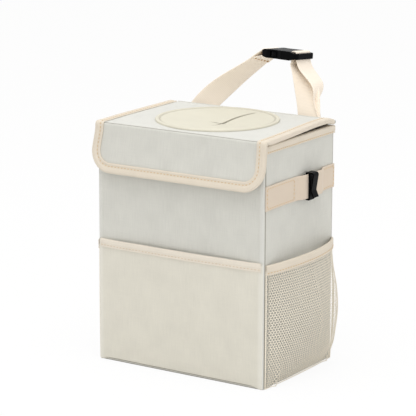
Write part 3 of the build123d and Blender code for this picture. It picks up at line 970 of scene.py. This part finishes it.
def lid_lining():
    def place(u, s, depth):
        x = u * (lid_half(s) - 0.5)
        return round_port(lid_point(x, s, lid_depth(s) - depth), s)

    lining = cloth("lid_lining_film", black_lining, place, lid_columns, lid_rows, film,
                   flat=lambda u, s: (u * lid_half(s), s), keep=clear_of_port)
    in_place_of("lid_lining", lining, "lid")


def lid_stiffener():
    """The lid's board, which follows the slight warp of its canvas."""
    low, high = limits("lid_board", "Z")
    side = limits("lid_board", "X")[1]
    front = limits("lid_board", "Y")[0]
    top = lid_top - high

    def place(u, s, depth):
        return round_port(lid_point(u * side, s, top + depth), s)

    board = cloth("lid_stiffener", stiff_board, place, lid_columns, steps(0, hinge_y - front, 46), high - low,
                  flat=lambda u, s: (u * side, s), keep=clear_of_port)
    in_place_of("lid_board", board, "lid")


def lid_edge():
    """Stations along the lid's edge on the flat cloth, from the rear right: place and the way in."""
    sides = stretches(lid_tape_start, (lid_run - 4, 26), (fold_end + 3, 18), (corner_start, 8))
    stations = [(lid_side, s, -1.0, 0.0) for s in sides]
    centre = lid_side - flap_corner
    turns = [math.radians(t) for t in steps(0, 90, 14)[1:]]
    for t in turns:
        x, s = math.cos(t), math.sin(t)
        stations.append((centre + flap_corner * x, corner_start + flap_corner * s, -x, -s))
    stations += [(x, lid_length, 0.0, -1.0) for x in steps(centre, -centre, 44)[1:-1]]
    mirrored = [(-x, s, -into, up) for x, s, into, up in reversed(stations[:len(sides) + len(turns)])]
    return stations + mirrored


def lid_tape():
    rows = []
    seam = []
    for x, s, into_x, into_s in lid_edge():
        deep = lid_depth(s)
        plump = 0.12 * ripple(x, s, 14, 31.0)
        w = lid_tape_width
        outer_leg = [
            (w, -0.05), (w + 0.1, -0.6), (w - 0.5, -1.05), (w - 1.8, -1.0), (w - 2.8, -0.62),
            (lid_seam, -0.5), (w - 4.0, -0.68), (w - 5.2, -1.0 - plump), (3.6, -1.15 - plump),
            (2.2, -1.1 - plump), (0.8, -0.85),
        ]
        edge = [(-0.2, -0.3), (-0.75, deep * 0.3), (-0.8, deep * 0.6), (-0.4, deep + 0.2)]
        inner_leg = [
            (0.8, deep + 0.72), (3.0, deep + 0.8), (w - 2.4, deep + 0.55), (w - 1.2, deep + 0.78),
            (w - 0.4, deep + 0.6), (w - 0.3, deep - 0.05), (0.1, deep - 0.05), (0.1, -0.05),
        ]
        section = [*outer_leg, *edge, *inner_leg]
        rows.append([lid_point(x + into_x * a, s + into_s * a, depth) for a, depth in section])
        line = (x + into_x * lid_seam, s + into_s * lid_seam)
        seam.append((lid_point(*line, -0.54), lid_out(*line)))
    tape_piece = skin("lid_tape", binding, rows)
    in_place_of("lid_binding", tape_piece, "lid")
    stitches("lid_stitches", [seam], "lid", sewing_thread)


lid_stiffener()
lid_canvas()
lid_lining()
lid_tape()

# Round cover: a raised ring and four soft petals that sag to the slits
cover_skin = 1.2
cover_dip = 3.6
ring_width = 4.0
ring_height = 0.8
slit_turn = 72.0
slit_reach = 54.4
petal_roots = (55.6, 57.0, 57.8)
sag_radius = 55.0
drift_radius = 54.0
slit_bow = 6.0
slit_gaps = (0.24, 0.03, 0.03, 0.03)
slit_hub_gaps = (0.2, 0.6, 0.6, 0.1)
slit_step = 0.55
hub_hole = 2.0
# Painted shade beside the slits near the hub, and along the ring's groove.
slit_shades = (0.5, 0.9, 0.9, 0.1)
slit_shade_ends = (54.0, 15.0, 19.0, 8.0)
hub_shift = Vector((9.0, -5.0))
ring_spread = 2.0
ring_groove_shade = 0.3
ring_groove = 0.35
cover_wave = 0.12


def slit_cover():
    piece = Piece()
    outer_ring = cover_radius + ring_spread
    inner_ring = outer_ring - ring_width
    roots = [(radius, 1) for radius in petal_roots]
    radii = stretches(hub_hole, (slit_reach, 24), *roots, (inner_ring, 6), (outer_ring, 10))

    groove_radius = inner_ring - 0.7

    def height(r):
        sag = -cover_dip * (1 - min(r / sag_radius, 1.0) ** 1.7)
        groove = -ring_groove * hump(r, groove_radius, 0.6)
        lip = max(1 - (2 * (r - inner_ring) / ring_width - 1) ** 4, 0.0) if r > inner_ring else 0.0
        return cover_skin + sag + groove + ring_height * lip

    def thickness(r):
        return cover_skin if r < inner_ring else max(height(r) - 0.02, 0.3)

    def bow(r):
        return slit_bow * math.sin(math.pi * min(r / slit_reach, 1.0)) / r

    def gap(r, slit):
        near = slit_hub_gaps[slit] * (1 - smooth(5, 14, r))
        return (slit_gaps[slit] * (1 - smooth(slit_reach - 5, slit_reach, r)) + near) / r

    # Painted shade beside a slit, and painted shade along the ring's groove.
    def slit_shade(r, slit):
        return slit_shades[slit] * (1 - smooth(slit_shade_ends[slit] - 5, slit_shade_ends[slit], r))

    def ring_shade(r):
        return ring_groove_shade * hump(r, groove_radius, 1.0)

    def place(r, share, petal, depth):
        follow = (petal + 1) % 4
        first = math.radians(slit_turn + 90 * petal) + bow(r) + gap(r, petal)
        last = math.radians(slit_turn + 90 * petal + 90) + bow(r) - gap(r, follow)
        turn = first + (last - first) * share
        free = 1 - smooth(6, slit_reach, r)
        step = {0: (1 - share) ** 2, 3: -share ** 2}.get(petal, 0.0)
        rise = slit_step * free * step
        drift = (1 - min(r / drift_radius, 1.0) ** 2) ** 2
        x = r * math.cos(turn) + hub_shift.x * drift
        y = cover_y + r * math.sin(turn) + hub_shift.y * drift
        up = height(r) + rise + cover_wave * ripple(x, y, 17, 41.0) * smooth(60, 40, r)
        return lid_point(x, hinge_y - y, depth - up)

    shares = steps(0, 1, 26)
    turns = [share * 1.57 for share in shares]
    for petal in range(4):
        top = [[place(r, share, petal, 0.0) for share in shares] for r in radii]
        low = [[place(r, share, petal, thickness(r)) for share in shares] for r in radii]
        flat = [[(r * math.cos(turn), r * math.sin(turn)) for turn in turns] for r in radii]
        upper = piece.grid(top, flat)
        lower = piece.grid(low, flat)
        # Points carry painted shade along the ring's groove and beside the slits.
        for ids, r in zip(upper, radii):
            for point in ids:
                piece.dark[point] = ring_shade(r)
            piece.dark[ids[0]] += slit_shade(r, petal)
            piece.dark[ids[-1]] += slit_shade(r, (petal + 1) % 4)
        free = [i for i, r in enumerate(radii) if r <= slit_reach + 0.01]
        for k in (0, -1):
            for i, j in zip(free, free[1:]):
                piece.face((upper[i][k], upper[j][k], lower[j][k], lower[i][k]), [flat[i][k]] * 4)
        for i in (0, -1):
            for k in range(len(shares) - 1):
                piece.face((upper[i][k], upper[i][k + 1], lower[i][k + 1], lower[i][k]), [flat[i][k]] * 4)
    cover = piece.finish("slit_cover_disc", cream_rubber, 60.0)
    in_place_of("slit_cover", cover, "lid")


slit_cover()

# Pockets: cloth bowed out from the wall between its two side seams
pocket_half = limits("front_pocket", "X")[1]
pocket_top = limits("front_pocket", "Z")[1]
pocket_tape_low, pocket_tape_top = limits("front_pocket_binding", "Z")
seam_gap = 0.1
mouth_seam = 2.4
mouth_wave = 0.25
# Painted highlight on the pocket's side seam strips.
pocket_seam_highlight = 0.7
pocket_wave = 0.3
pocket_crease = 0.12
pocket_crown = -limits("front_pocket", "Y")[0] - half_depth - canvas_thick - seam_gap


def bow_along(t):
    """Place along a bowed pocket, from -1 to 1, for t from 0 to 1."""
    r = 1 - t
    return -r ** 3 - 1.8 * t * r * r + 1.8 * t * t * r + t ** 3


def bow_out(t, lean):
    """How far a bowed pocket stands out there, as a share of its bulge."""
    r = 1 - t
    return 4 * t * r * (r * (1 - lean) + t * (1 + lean))


def pocket_bulge(z):
    return pocket_crown * smooth(-60, pocket_tape_low, z) ** 1.4


def pocket_edge(t):
    """Distance from the nearer side seam."""
    return pocket_half * (1 - abs(bow_along(t)))


def pocket_place(t, z, depth):
    x = pocket_half * bow_along(t)
    edge = pocket_edge(t)
    drop = rolled(corner_roll, corner_roll - edge) + rolled(foot_roll, foot_roll - z)
    calm = smooth(2, 22, edge) * smooth(2, 20, z)
    wave = calm * (pocket_wave * ripple(x, z, 55, 61.0) + pocket_crease * ripple(x, z, 19, 63.0))
    out = half_depth + seam_gap + canvas_thick + pocket_bulge(z) * bow_out(t, 0) + wave - drop - depth
    return Vector((x, -out, z + foot_lift(edge, z)))


def front_pocket():
    shares = stretches(0, (0.025, 10), (0.975, 44), (1, 10))
    heights = stretches(0.2, (foot_roll, 5), (pocket_top - mouth_drop - 0.8, 40))

    # Painted highlight on the pocket's side seam strips, and painted shadow along its lower edge.
    def pale(t, z):
        return pocket_seam_highlight * (1 - smooth(seam_width - 1.0, seam_width, pocket_edge(t)))

    def dark(t, z):
        return foot_shade * (1 - smooth(0.5, 1.6, z)) * smooth(2, 18, pocket_edge(t))

    pocket = cloth("front_pocket_canvas", pocket_canvas, pocket_place, shares, heights, canvas_thick,
                   flat=lambda t, z: (pocket_half * bow_along(t), z), pale=pale, dark=dark)
    in_place_of("front_pocket", pocket, "bin")


def mouth_section(height, back):
    """Tape folded over a pocket's mouth: (outward, up) from the lower edge of the outer leg."""
    fold = tape * 0.9
    return [
        (0.0, 0.0), (tape, 0.05), (tape + 0.2, 0.6), (tape + 0.05, 1.7), (tape - 0.2, mouth_seam),
        (tape - 0.05, 3.1), (tape + 0.2, 4.4), (tape + 0.2, height - 1.6),
        *arc((tape - 0.9, height - fold), fold, 30, 90, 3),
        (-back - 0.1, height), (-back - fold, height - 0.5), (-back - fold, 0.6), (-back, 0.3),
        (-back, height - tape), (0.0, height - tape),
    ]


def mouth_tape(node, name, finish, thread, stations, height, out, thread_out):
    """Tape along stations of its lower edge, the room behind it there and the cloth that it folds over."""
    rows = []
    seam = []
    for seat, room, back in stations:
        section = [(max(a, -room), b) for a, b in mouth_section(height, back)]
        rows.append([seat + out * a + upward * b for a, b in section])
        seam.append((seat + out * thread_out + upward * mouth_seam, out))
    mouth = skin(f"{name}_tape", finish, rows)
    in_place_of(node, mouth, "bin")
    stitches(f"{name}_stitches", [seam], "bin", thread)


def front_pocket_tape():
    stations = []
    for t in steps(0.02, 0.985, 64):
        seat = pocket_place(t, pocket_tape_low + 1.0, 0.0)
        room = max(-seat.y - half_depth - seam_gap, 0.05)
        seat.z = pocket_tape_low - mouth_drop + mouth_wave * ripple(seat.x, 0.0, 30, 71.0)
        stations.append((seat, room, min(canvas_thick, room * 0.55)))
    mouth_tape("front_pocket_binding", "front_pocket", pocket_binding, pale_thread, stations,
               pocket_tape_top - pocket_tape_low, Vector((0, -1, 0)), tape - 0.12)


front_pocket()
front_pocket_tape()

# Mesh pockets: bulges of the net at heights above the ground
net_half = limits("right_mesh_pocket", "Y")[1]
net_top = limits("right_mesh_pocket", "Z")[1]
net_tape_low, net_tape_top = limits("right_mesh_binding", "Z")
net_mouth_bulge = 11.0
net_bulges = ((1.0, 2.0), (24.0, 15.0), (62.0, 22.0), (net_tape_low, net_mouth_bulge),
              (net_top, net_mouth_bulge))
net_lean = 0.3
net_fullness = 0.62
net_cell = 2.9
net_open = 0.75
net_tape_sag = 2.4
net_strand = 0.24
net_slack = (1.06, 1.03)
net_gap = 0.6
net_wave = 0.7
net_mouth_wave = 0.35
net_fold = 0.9
net_fold_place = 6.0
gather_rise = 0.5
gather_turn = 0.55
pleats = ((-50.0, 2.6), (52.0, 2.2))
pleat_lean = 0.08
pleat_width = 2.6


def net_bulge(z):
    """Smooth line through the bulges."""
    z = min(max(z, net_bulges[0][0]), net_bulges[-1][0])
    k = max(i for i, (height, _) in enumerate(net_bulges[:-1]) if height <= z)

    def slope(i):
        low = net_bulges[max(i - 1, 0)]
        high = net_bulges[min(i + 1, len(net_bulges) - 1)]
        return (high[1] - low[1]) / (high[0] - low[0])

    (z0, b0), (z1, b1) = net_bulges[k], net_bulges[k + 1]
    run = z1 - z0
    t = (z - z0) / run
    ease = t * t * (3 - 2 * t)
    return b0 + (b1 - b0) * ease + run * (t * (1 - t) ** 2 * slope(k) - t * t * (1 - t) * slope(k + 1))


def bow_share(along):
    """t of a bowed pocket at a place from -1 to 1 along it."""
    low, high = 0.0, 1.0
    for _ in range(22):
        t = (low + high) / 2
        if bow_along(t) < along:
            low = t
        else:
            high = t
    return (low + high) / 2


def net_place(sign, along, z, out):
    """A place on a side's net: along runs back, out is away from the net's middle."""
    t = bow_share(along / net_half)
    full = smooth(0, 40, net_tape_low - z) * smooth(0, 30, z) * smooth(0.3, 0.8, t)
    bulge = net_bulge(z) * bow_out(t, net_lean) ** (1 - (1 - net_fullness) * full)
    gather = smooth(net_tape_low - 26, net_tape_low, z)
    edge = net_half - abs(along)
    bulge += gather_rise * gather * math.sin(along * gather_turn) * smooth(0, 12, edge) * (1 - gather * 0.6)
    for middle, rise in pleats:
        bulge += rise * hump(along, middle + pleat_lean * z, pleat_width) * (1 - smooth(6, 34, z))
    bulge += net_fold * hump(along, net_fold_place, 2.4) * smooth(30, 60, z) * (1 - smooth(104, 120, z))
    bulge += net_wave * ripple(along, z, 30, 81.0) * smooth(4, 20, z) * smooth(0, 16, edge)
    return Vector((sign * (half_width + net_gap + bulge + out), along, z))


def net(side, sign):
    piece = Piece()
    radius = net_cell / math.sqrt(3)
    row_pitch = net_cell * math.sqrt(3) / 2
    turns = [math.radians(30 + 60 * k) for k in range(6)]
    corners = [(radius * math.cos(t), radius * math.sin(t)) for t in turns]
    knots = {}
    sides = {}
    low, high = 2.0 + radius, net_tape_low + 3.0
    rows = int((high - low) / row_pitch)
    columns = int((2 * net_half - 3.0) / net_cell)

    def knot(along, z):
        key = (round(along, 3), round(z, 3))
        if key not in knots:
            knots[key] = [piece.point(net_place(sign, along, z, out)) for out in (net_strand, -net_strand)]
        return knots[key]

    for row in range(rows):
        z = low + row * row_pitch
        count = columns - row % 2
        for column in range(count):
            along = (column - (count - 1) / 2) * net_cell
            spots = [(along + a, z + b) for a, b in corners]
            inner = [(along + net_open * a, z + net_open * b) for a, b in corners]
            outer_ids = [knot(*spot) for spot in spots]
            inner_ids = [piece.point(net_place(sign, *spot, 0.0)) for spot in inner]
            for k in range(6):
                n = (k + 1) % 6
                flat = (spots[k], spots[n], inner[n], inner[k])
                piece.face((outer_ids[k][0], outer_ids[n][0], inner_ids[n], inner_ids[k]), flat)
                piece.face((outer_ids[n][1], outer_ids[k][1], inner_ids[k], inner_ids[n]),
                           (flat[1], flat[0], flat[3], flat[2]))
                edge = tuple(sorted((outer_ids[k][0], outer_ids[n][0])))
                sides.setdefault(edge, []).append((outer_ids[k], outer_ids[n], spots[k], spots[n]))
    for users in sides.values():
        if len(users) == 1:
            a, b, first, last = users[0]
            piece.face((b[0], a[0], a[1], b[1]), (last, first, first, last))
    made = piece.finish(f"{side}_net", net_thread, 70.0)
    in_place_of(f"{side}_mesh_pocket", made, "bin")
    flat = (2 * net_half * net_slack[0] * MM, net_tape_low * net_slack[1] * MM)


def net_hem(side, sign):
    """Close-knit edge of the net, caught in the seams at its sides and foot."""
    width = 0.7
    span = net_half - 0.3
    low = 0.6
    line = [(-span, z, 1.0, 0.0) for z in steps(net_tape_low + 2, low + width, 40)]
    line += [(along, low, 0.0, 1.0) for along in steps(-span + width * 0.3, span - width * 0.3, 60)]
    line += [(span, z, -1.0, 0.0) for z in steps(low + width, net_tape_low + 2, 40)]
    rows = []
    for along, z, into_y, into_z in line:
        section = [(0, 0.35), (width * 0.5, 0.55), (width, 0.3), (width + 0.2, 0), (width, -0.3), (0, -0.4)]
        rows.append([net_place(sign, along + into_y * a, z + into_z * a, out) for a, out in section])
    hem = skin(f"{side}_net_hem", net_thread, rows)
    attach(hem, "bin")


def net_tape(side, sign):
    stations = []
    for t in steps(0.004, 0.996, 60):
        along = net_half * bow_along(t)
        out = half_width + seam_gap + 1.0 + net_mouth_bulge * bow_out(t, net_lean)
        room = max(out - half_width - seam_gap, 0.05)
        low = net_tape_low + net_mouth_wave * ripple(along, 0.0, 34, 91.0) - net_tape_sag * (1 - t)
        stations.append((Vector((sign * out, along, low)), room, min(1.0, room * 0.5)))
    mouth_tape(f"{side}_mesh_binding", f"{side}_net", binding, sewing_thread, stations,
               net_tape_top - net_tape_low, Vector((sign, 0, 0)), tape - 0.1)


# Webbing bands on the sides, with the loose loop that carries the bag clip
web_low, web_high = limits("right_side_webbing", "Z")
web_width = web_high - web_low
web_thick = 1.3
web_seam = web_width / 2 - 2.4
web_section = selvedge(web_width, web_thick)
band_z = (web_low + web_high) / 2
band_end = limits("right_side_webbing", "Y")[1]
band_seat = seam_gap + web_thick / 2
loop_reach = limits("right_side_webbing", "X")[1] - half_width - band_seat - web_thick / 2
loop_rises = (-9.0, 4.0)
loop_falls = (34.0, 45.0)
front_seam_end = -14.0
seam_inset = 1.5
left_band_short = 3.0
band_wave = 0.5


def band_out(y):
    """How far the middle of the webbing stands from the wall."""
    return band_seat + loop_reach * smooth(*loop_rises, y) * (1 - smooth(*loop_falls, y))


def band_sag(y):
    return band_wave * ripple(y, 0.0, 24, 101.0)


def side_webbing(side, sign):
    frames = []
    front_end = band_end if sign > 0 else band_end - left_band_short
    for y in steps(-front_end, band_end, 110):
        slope = (band_out(y + 0.05) - band_out(y - 0.05)) / 0.1
        up = Vector((sign, -slope, 0)).normalized()
        place = Vector((sign * (half_width + band_out(y)), y, band_z + band_sag(y)))
        frames.append((place, upward, up))
    band = sweep(f"{side}_band", shaded_band_webbing, frames, web_section)
    in_place_of(f"{side}_side_webbing", band, "bin")
    face = sign * (half_width + band_seat + web_thick / 2)
    out = (sign, 0, 0)
    runs = []
    for first, last in ((seam_inset - front_end, front_seam_end), (band_end - seam_inset, loop_falls[1])):
        for z in (band_z - web_seam, band_z + web_seam):
            runs.append([(Vector((face, y, z + band_sag(y))), out) for y in steps(first, last, 12)])
        for y in (first, last) if last < 0 else (first,):
            runs.append([(Vector((face, y, band_z + z)), out) for z in steps(-web_seam, web_seam, 4)])
    stitches(f"{side}_band_stitches", runs, "bin", sewing_thread)


for side, sign in (("right", 1), ("left", -1)):
    net(side, sign)
    net_hem(side, sign)
    net_tape(side, sign)
    side_webbing(side, sign)

# Hanging strap: both lengths follow the buckle's own frame, along it in X and up through it in Z
buckle_x = 3.6
buckle_behind = 30.0
buckle_above = 57.6
buckle_turns = (-4.5, 0.7, -5.4)
buckle_place = Matrix.Translation((buckle_x, half_depth + buckle_behind, lid_top + buckle_above))
for axis, angle in zip("XYZ", buckle_turns):
    buckle_place = buckle_place @ Matrix.Rotation(math.radians(angle), 4, axis)
strap_plane = half_depth + seam_gap + web_thick / 2
sewn_length = 34.0
sewn_top = rim_top - 30.0
left_sewn_x = 19.0 - half_width
left_tilt = 6.5
right_sewn_x = half_width - 32.0
fold_back = 15.0
fold_fall = 36.0
fold_twist = 16.0
fold_bar = 1.5
fold_loop = 3.8
fold_seams = (fold_back - 1.8, 5.2)
bar_rows = (0.5, 1.2, 1.9)
up_slot, down_slot = 37.75, 43.25
slot_foot = -8.0
slot_over = 4.8
tail = ((23.5, -29.0), (20.0, -45.0), (28.5, -70.0))
tail_bends = (24.0, 14.0, 14.0)
tail_twist = 32.0


def rounded(points, radii):
    """Points along straight runs with round corners between them."""
    path = [points[0]]
    for before, corner, after, radius in zip(points, points[1:], points[2:], radii):
        into = (corner - before).normalized()
        away = (after - corner).normalized()
        angle = into.angle(away)
        start = corner - into * radius * math.tan(angle / 2)
        centre = corner + (away - into).normalized() * radius / math.cos(angle / 2)
        axis = into.cross(away).normalized()
        for t in steps(0, 1, 8):
            path.append(centre + Matrix.Rotation(angle * t, 3, axis) @ (start - centre))
    return [*path, points[-1]]


def leaning(tilt):
    """The ways across and up a strap that leans sideways by an angle in degrees."""
    lean = Matrix.Rotation(math.radians(tilt), 3, "Y")
    return lean @ Vector((1, 0, 0)), lean @ upward


def strap_frames(x, tilt, wrap, rise_length, away, reach):
    """Stations from the sewn end on the back wall, up the free length and round the buckle's bar."""
    across, rise = leaning(tilt)
    top = Vector((x, strap_plane, sewn_top))
    stations = [(top - rise * distance, across) for distance in steps(sewn_length, 0, 8)[:-1]]
    start, arrive_across = wrap[0]
    arrive = (wrap[1][0] - start).normalized()
    first = top + rise * rise_length + Vector((0, away, 0))
    second = start - arrive * reach
    for t in steps(0, 1, 48)[:-1]:
        r = 1 - t
        place = top * r ** 3 + first * (3 * t * r * r) + second * (3 * t * t * r) + start * t ** 3
        turn = t * t * (3 - 2 * t)
        stations.append((place, across * (1 - turn) + arrive_across * turn))
    stations += wrap
    frames = []
    for k, (place, width) in enumerate(stations):
        ahead = stations[min(k + 1, len(stations) - 1)][0]
        behind = stations[max(k - 1, 0)][0]
        along = (ahead - behind).normalized()
        width = (width - along * width.dot(along)).normalized()
        frames.append((place, width, along.cross(width).normalized()))
    return frames


def sewn_box(x, tilt):
    """Stitch lines of a box with a cross, on a strap's sewn end."""
    across, rise = leaning(tilt)
    top = Vector((x, strap_plane + web_thick / 2, sewn_top))
    side = web_seam
    high, low = -3.0, 3.0 - sewn_length
    corners = [(-side, low), (side, low), (side, high), (-side, high), (-side, low), (side, high)]
    lines = [*zip(corners, corners[1:]), ((-side, high), (side, low))]
    runs = []
    for first, last in lines:
        runs.append([(top + across * a + rise * b, (0, 1, 0)) for a, b in between(first, last, 6)])
    return runs


def left_strap():
    angle = math.radians(fold_fall)
    bar = Vector((fold_bar, 0, 0))
    leg = Vector((-math.cos(angle), 0, -math.sin(angle)))
    side = Vector((leg.z, 0, -leg.x))
    layer = web_thick / 2 + 0.2
    half = web_width / 2 - 1.2

    def folded(a, b, w):
        """A place in the fold: a along the leg, b through it and w across it."""
        turn = Matrix.Rotation(math.radians(fold_twist) * smooth(0, fold_back, a), 3, leg)
        return buckle_place @ (bar + leg * a + turn @ (side * b + Vector((0, w, 0))))

    def seam_across(a, facing):
        """A row of stitches across one face of the fold."""
        lift = facing * (layer + web_thick / 2)
        row = []
        for w in steps(-half, half, 6):
            spot = folded(a, lift, w)
            row.append((spot, folded(a, lift + facing, w) - spot))
        return row

    corners = [(fold_back, layer), (-fold_loop, fold_loop), (-fold_loop, -fold_loop), (fold_back, -layer)]
    path = rounded([Vector((a, 0, b)) for a, b in corners], [0.78 * fold_loop] * 2)
    wrap = [(folded(p.x, p.z, 0), folded(p.x, p.z, 1) - folded(p.x, p.z, 0)) for p in path]
    frames = strap_frames(left_sewn_x, left_tilt, wrap, rise_length=36.0, away=3.0, reach=18.0)
    strap = sweep("left_strap_webbing", webbing, frames, web_section)
    in_place_of("left_strap", strap, "bin")
    runs = sewn_box(left_sewn_x, left_tilt)
    runs += [seam_across(a, facing) for a in fold_seams for facing in (1, -1)]
    stitches("left_strap_stitches", runs, "bin", sewing_thread)
    bars = [seam_across(fold_back - back, -1) for back in bar_rows]
    stitches("left_strap_bar", bars, "bin", bar_thread)


def right_strap():
    corners = [(up_slot, slot_foot), (up_slot, slot_over), (down_slot, slot_over), (down_slot, slot_foot)]
    corners += [(down_slot + x, z) for x, z in tail]
    path = rounded([Vector((x, 0, z)) for x, z in corners], [web_thick, web_thick, *tail_bends])
    turned = buckle_place.to_3x3()
    wrap = []
    for number, p in enumerate(path):
        hang = smooth(-14, -60, p.z) if number > len(path) // 2 else 0.0
        turn = Matrix.Rotation(math.radians(tail_twist) * hang, 3, "Z")
        wrap.append((buckle_place @ p, turned @ turn @ Vector((0, 1, 0))))
    frames = strap_frames(right_sewn_x, 0.0, wrap, rise_length=72.0, away=13.0, reach=5.0)
    strap = sweep("right_strap_webbing", webbing, frames, web_section)
    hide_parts("right_strap")
    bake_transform(strap)
    stitches("right_strap_stitches", sewn_box(right_sewn_x, 0.0), "bin", sewing_thread)


left_strap()
right_strap()

# Strip at the back that the lid hangs from, with its rows of stitches above its lower edge
hinge_seams = (2.2, 6.5)
hinge_wave = 0.15


def hinge_strip():
    """Canvas strip sewn to the back wall, its upper edge curled over the lid's rear roll."""
    side = limits("hinge_strip", "X")[1]
    low = limits("hinge_strip", "Z")[0]
    seat = limits("hinge_strip", "Y")[1]
    curl = seat - hinge_y

    def place(u, v, depth):
        wave = hinge_wave * ripple(u, v, 24, 111.0)
        if v <= hinge_z:
            return Vector((u, seat - depth + wave * smooth(0, 8, hinge_z - v), v))
        turn = (v - hinge_z) / curl
        radius = curl - depth
        return Vector((u, hinge_y + radius * math.cos(turn), hinge_z + radius * math.sin(turn)))

    rows = stretches(low, (hinge_z, 14), (hinge_z + curl * 0.9, 8))
    strip = cloth("hinge_strip_canvas", canvas, place, steps(-side, side, 60), rows, canvas_thick)
    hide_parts("hinge_strip")
    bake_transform(strip)
    runs = []
    for above in hinge_seams:
        z = low + above
        runs.append([(Vector((u, seat, z)), (0, 1, 0)) for u in steps(-side + 2, side - 2, 40)])
    stitches("hinge_stitches", runs, "bin", sewing_thread)


hinge_strip()


def liner_bag():
    """Black waterproof bag inside, creased where it was folded in."""
    corner = 5.0
    count = 20
    crease_depth = 2.2
    ring = []
    for quarter, (sx, sy) in enumerate(((1, 1), (-1, 1), (-1, -1), (1, -1))):
        centre = (sx * (liner_half_width - corner), sy * (liner_half_depth - corner))
        ring += [(*spot, quarter) for spot in arc(centre, corner, 90 * quarter, 90 * quarter + 90, 6)]
        here = ring[-1]
        along_x = quarter % 2 == 0
        reach = liner_half_width - corner if along_x else liner_half_depth - corner
        for t in steps(1, -1, count)[1:-1]:
            if along_x:
                ring.append((sx * reach * t, here[1], quarter))
            else:
                ring.append((here[0], sy * reach * t, quarter))

    def row(z, inset, crease):
        spots = []
        for k, (x, y, _) in enumerate(ring):
            around = 2 * math.pi * k / len(ring)
            wander = ripple(9 * math.cos(around) + x / 60, 9 * math.sin(around) + y / 60, 1.0, z / 55)
            pull = inset + crease * max(wander, 0.0)
            spots.append(Vector((x * (1 - pull / liner_half_width), y * (1 - pull / liner_half_depth), z)))
        return spots

    top = wall_top - 0.4
    rows = [row(z, 0.0, 0.0) for z in steps(liner_floor, top, 6)]
    rows.append(row(top, film, 0.0))
    for z in steps(top - 3, liner_floor + film, 60):
        rows.append(row(z, film, crease_depth * smooth(0, 30, top - z) * smooth(0, 12, z - liner_floor)))
    bag = skin("liner_film", black_lining, rows, sharp=60.0)
    in_place_of("liner", bag, "bin")


liner_bag()

# Touch tape: a woven backing with soft loops on the wall and stiff hooks in the flap
touch_backing = 0.35
pile_pitch = 1.9
pile_wire = 0.11
pile_margin = 2.4
pile_stagger = 0.5
pile_radius = 0.5
pile_lean = 0.5
loop_turn = 180
hook_turn = 235
touch_edge = 1.3


def touch_strip(node, name, body, tall, closed, place):
    """Backing and pile of one strip: place(x, z, out) is a point out from the backing's face."""
    (x_low, x_high), (z_low, z_high) = limits(node, "X"), limits(node, "Z")
    piece = Piece()
    across = steps(x_low, x_high, 30)
    along = steps(z_low, z_high, 10)
    flat = [[(x, z) for x in across] for z in along]
    for out in (0.0, -touch_backing):
        piece.grid([[place(x, z, out) for x, z in row] for row in flat], flat)
    rim = [(x, z_low) for x in across] + [(x_high, z) for z in along[1:]]
    rim += [(x, z_high) for x in across[::-1][1:]] + [(x_low, z) for z in along[::-1][1:]]
    piece.grid([[place(x, z, out) for x, z in rim] for out in (0.0, -touch_backing)], [rim, rim])
    spots = arc((0, 0), pile_radius, 0, loop_turn if closed else hook_turn, 6)
    wire = [(pile_wire * a, pile_wire * b) for a, b in ((1, 0), (-0.5, 0.87), (-0.5, -0.87))]
    count = int((x_high - x_low - 5) / pile_pitch)
    first, last = z_low + pile_margin, z_high - pile_margin
    for row, z in enumerate(steps(first, last, int((last - first) / pile_pitch))):
        start = x_low + pile_margin + pile_stagger * (row % 2)
        stop = x_high - pile_margin - pile_stagger * (1 - row % 2)
        for x in steps(start, stop, count):
            lean = pile_lean * ripple(x, z, 1.3, 121.0)
            rows = []
            for a, b in spots:
                out = max(tall * b * 2 - 0.05, -0.1)
                rows.append([place(x + a + da, z + lean * b + dz, out) for da, dz in wire])
            piece.tube(rows, lambda i, k: (x, z))
    strip = piece.finish(name, touch_tape)
    in_place_of(node, strip, body)
    left, right = x_low + touch_edge, x_high - touch_edge
    low, high = z_low + touch_edge, z_high - touch_edge
    corners = [(left, low), (right, low), (right, high), (left, high), (left, low)]
    runs = []
    for corner, after in zip(corners, corners[1:]):
        line = between(corner, after, 8)
        runs.append([(place(x, z, 0.0), place(x, z, 1.0) - place(x, z, 0.0)) for x, z in line])
    stitches(f"{name}_stitches", runs, body, sewing_thread)


def on_flap(x, z, out):
    s = fold_end + (lid_top - fold_radius - z)
    return lid_point(x, s, flap_slab + touch_backing + out)


def on_wall(x, z, out):
    return Vector((x, -half_depth - seam_gap - out, z))


touch_strip("loop_tape", "loop_strip", "bin", 0.3, True, on_wall)
touch_strip("hook_tape", "hook_strip", "lid", 0.28, False, on_flap)

# CAD pieces that keep their own shape
kept_finishes = {
    "stiff_board": stiff_board,
    "black_plastic": black_plastic,
    "canvas": canvas,
    "pocket_canvas": pocket_canvas,
    "binding_tape": binding,
    "webbing": webbing,
    "net": net_thread,
    "touch_tape": touch_tape,
    "cream_rubber": cream_rubber,
    "black_lining": black_lining,
}
for part in frame["record"]["subparts"]:
    node = frame["nodes"][part["node"]]
    node.data.materials.clear()
    node.data.materials.append(kept_finishes[part["material_slot"]])
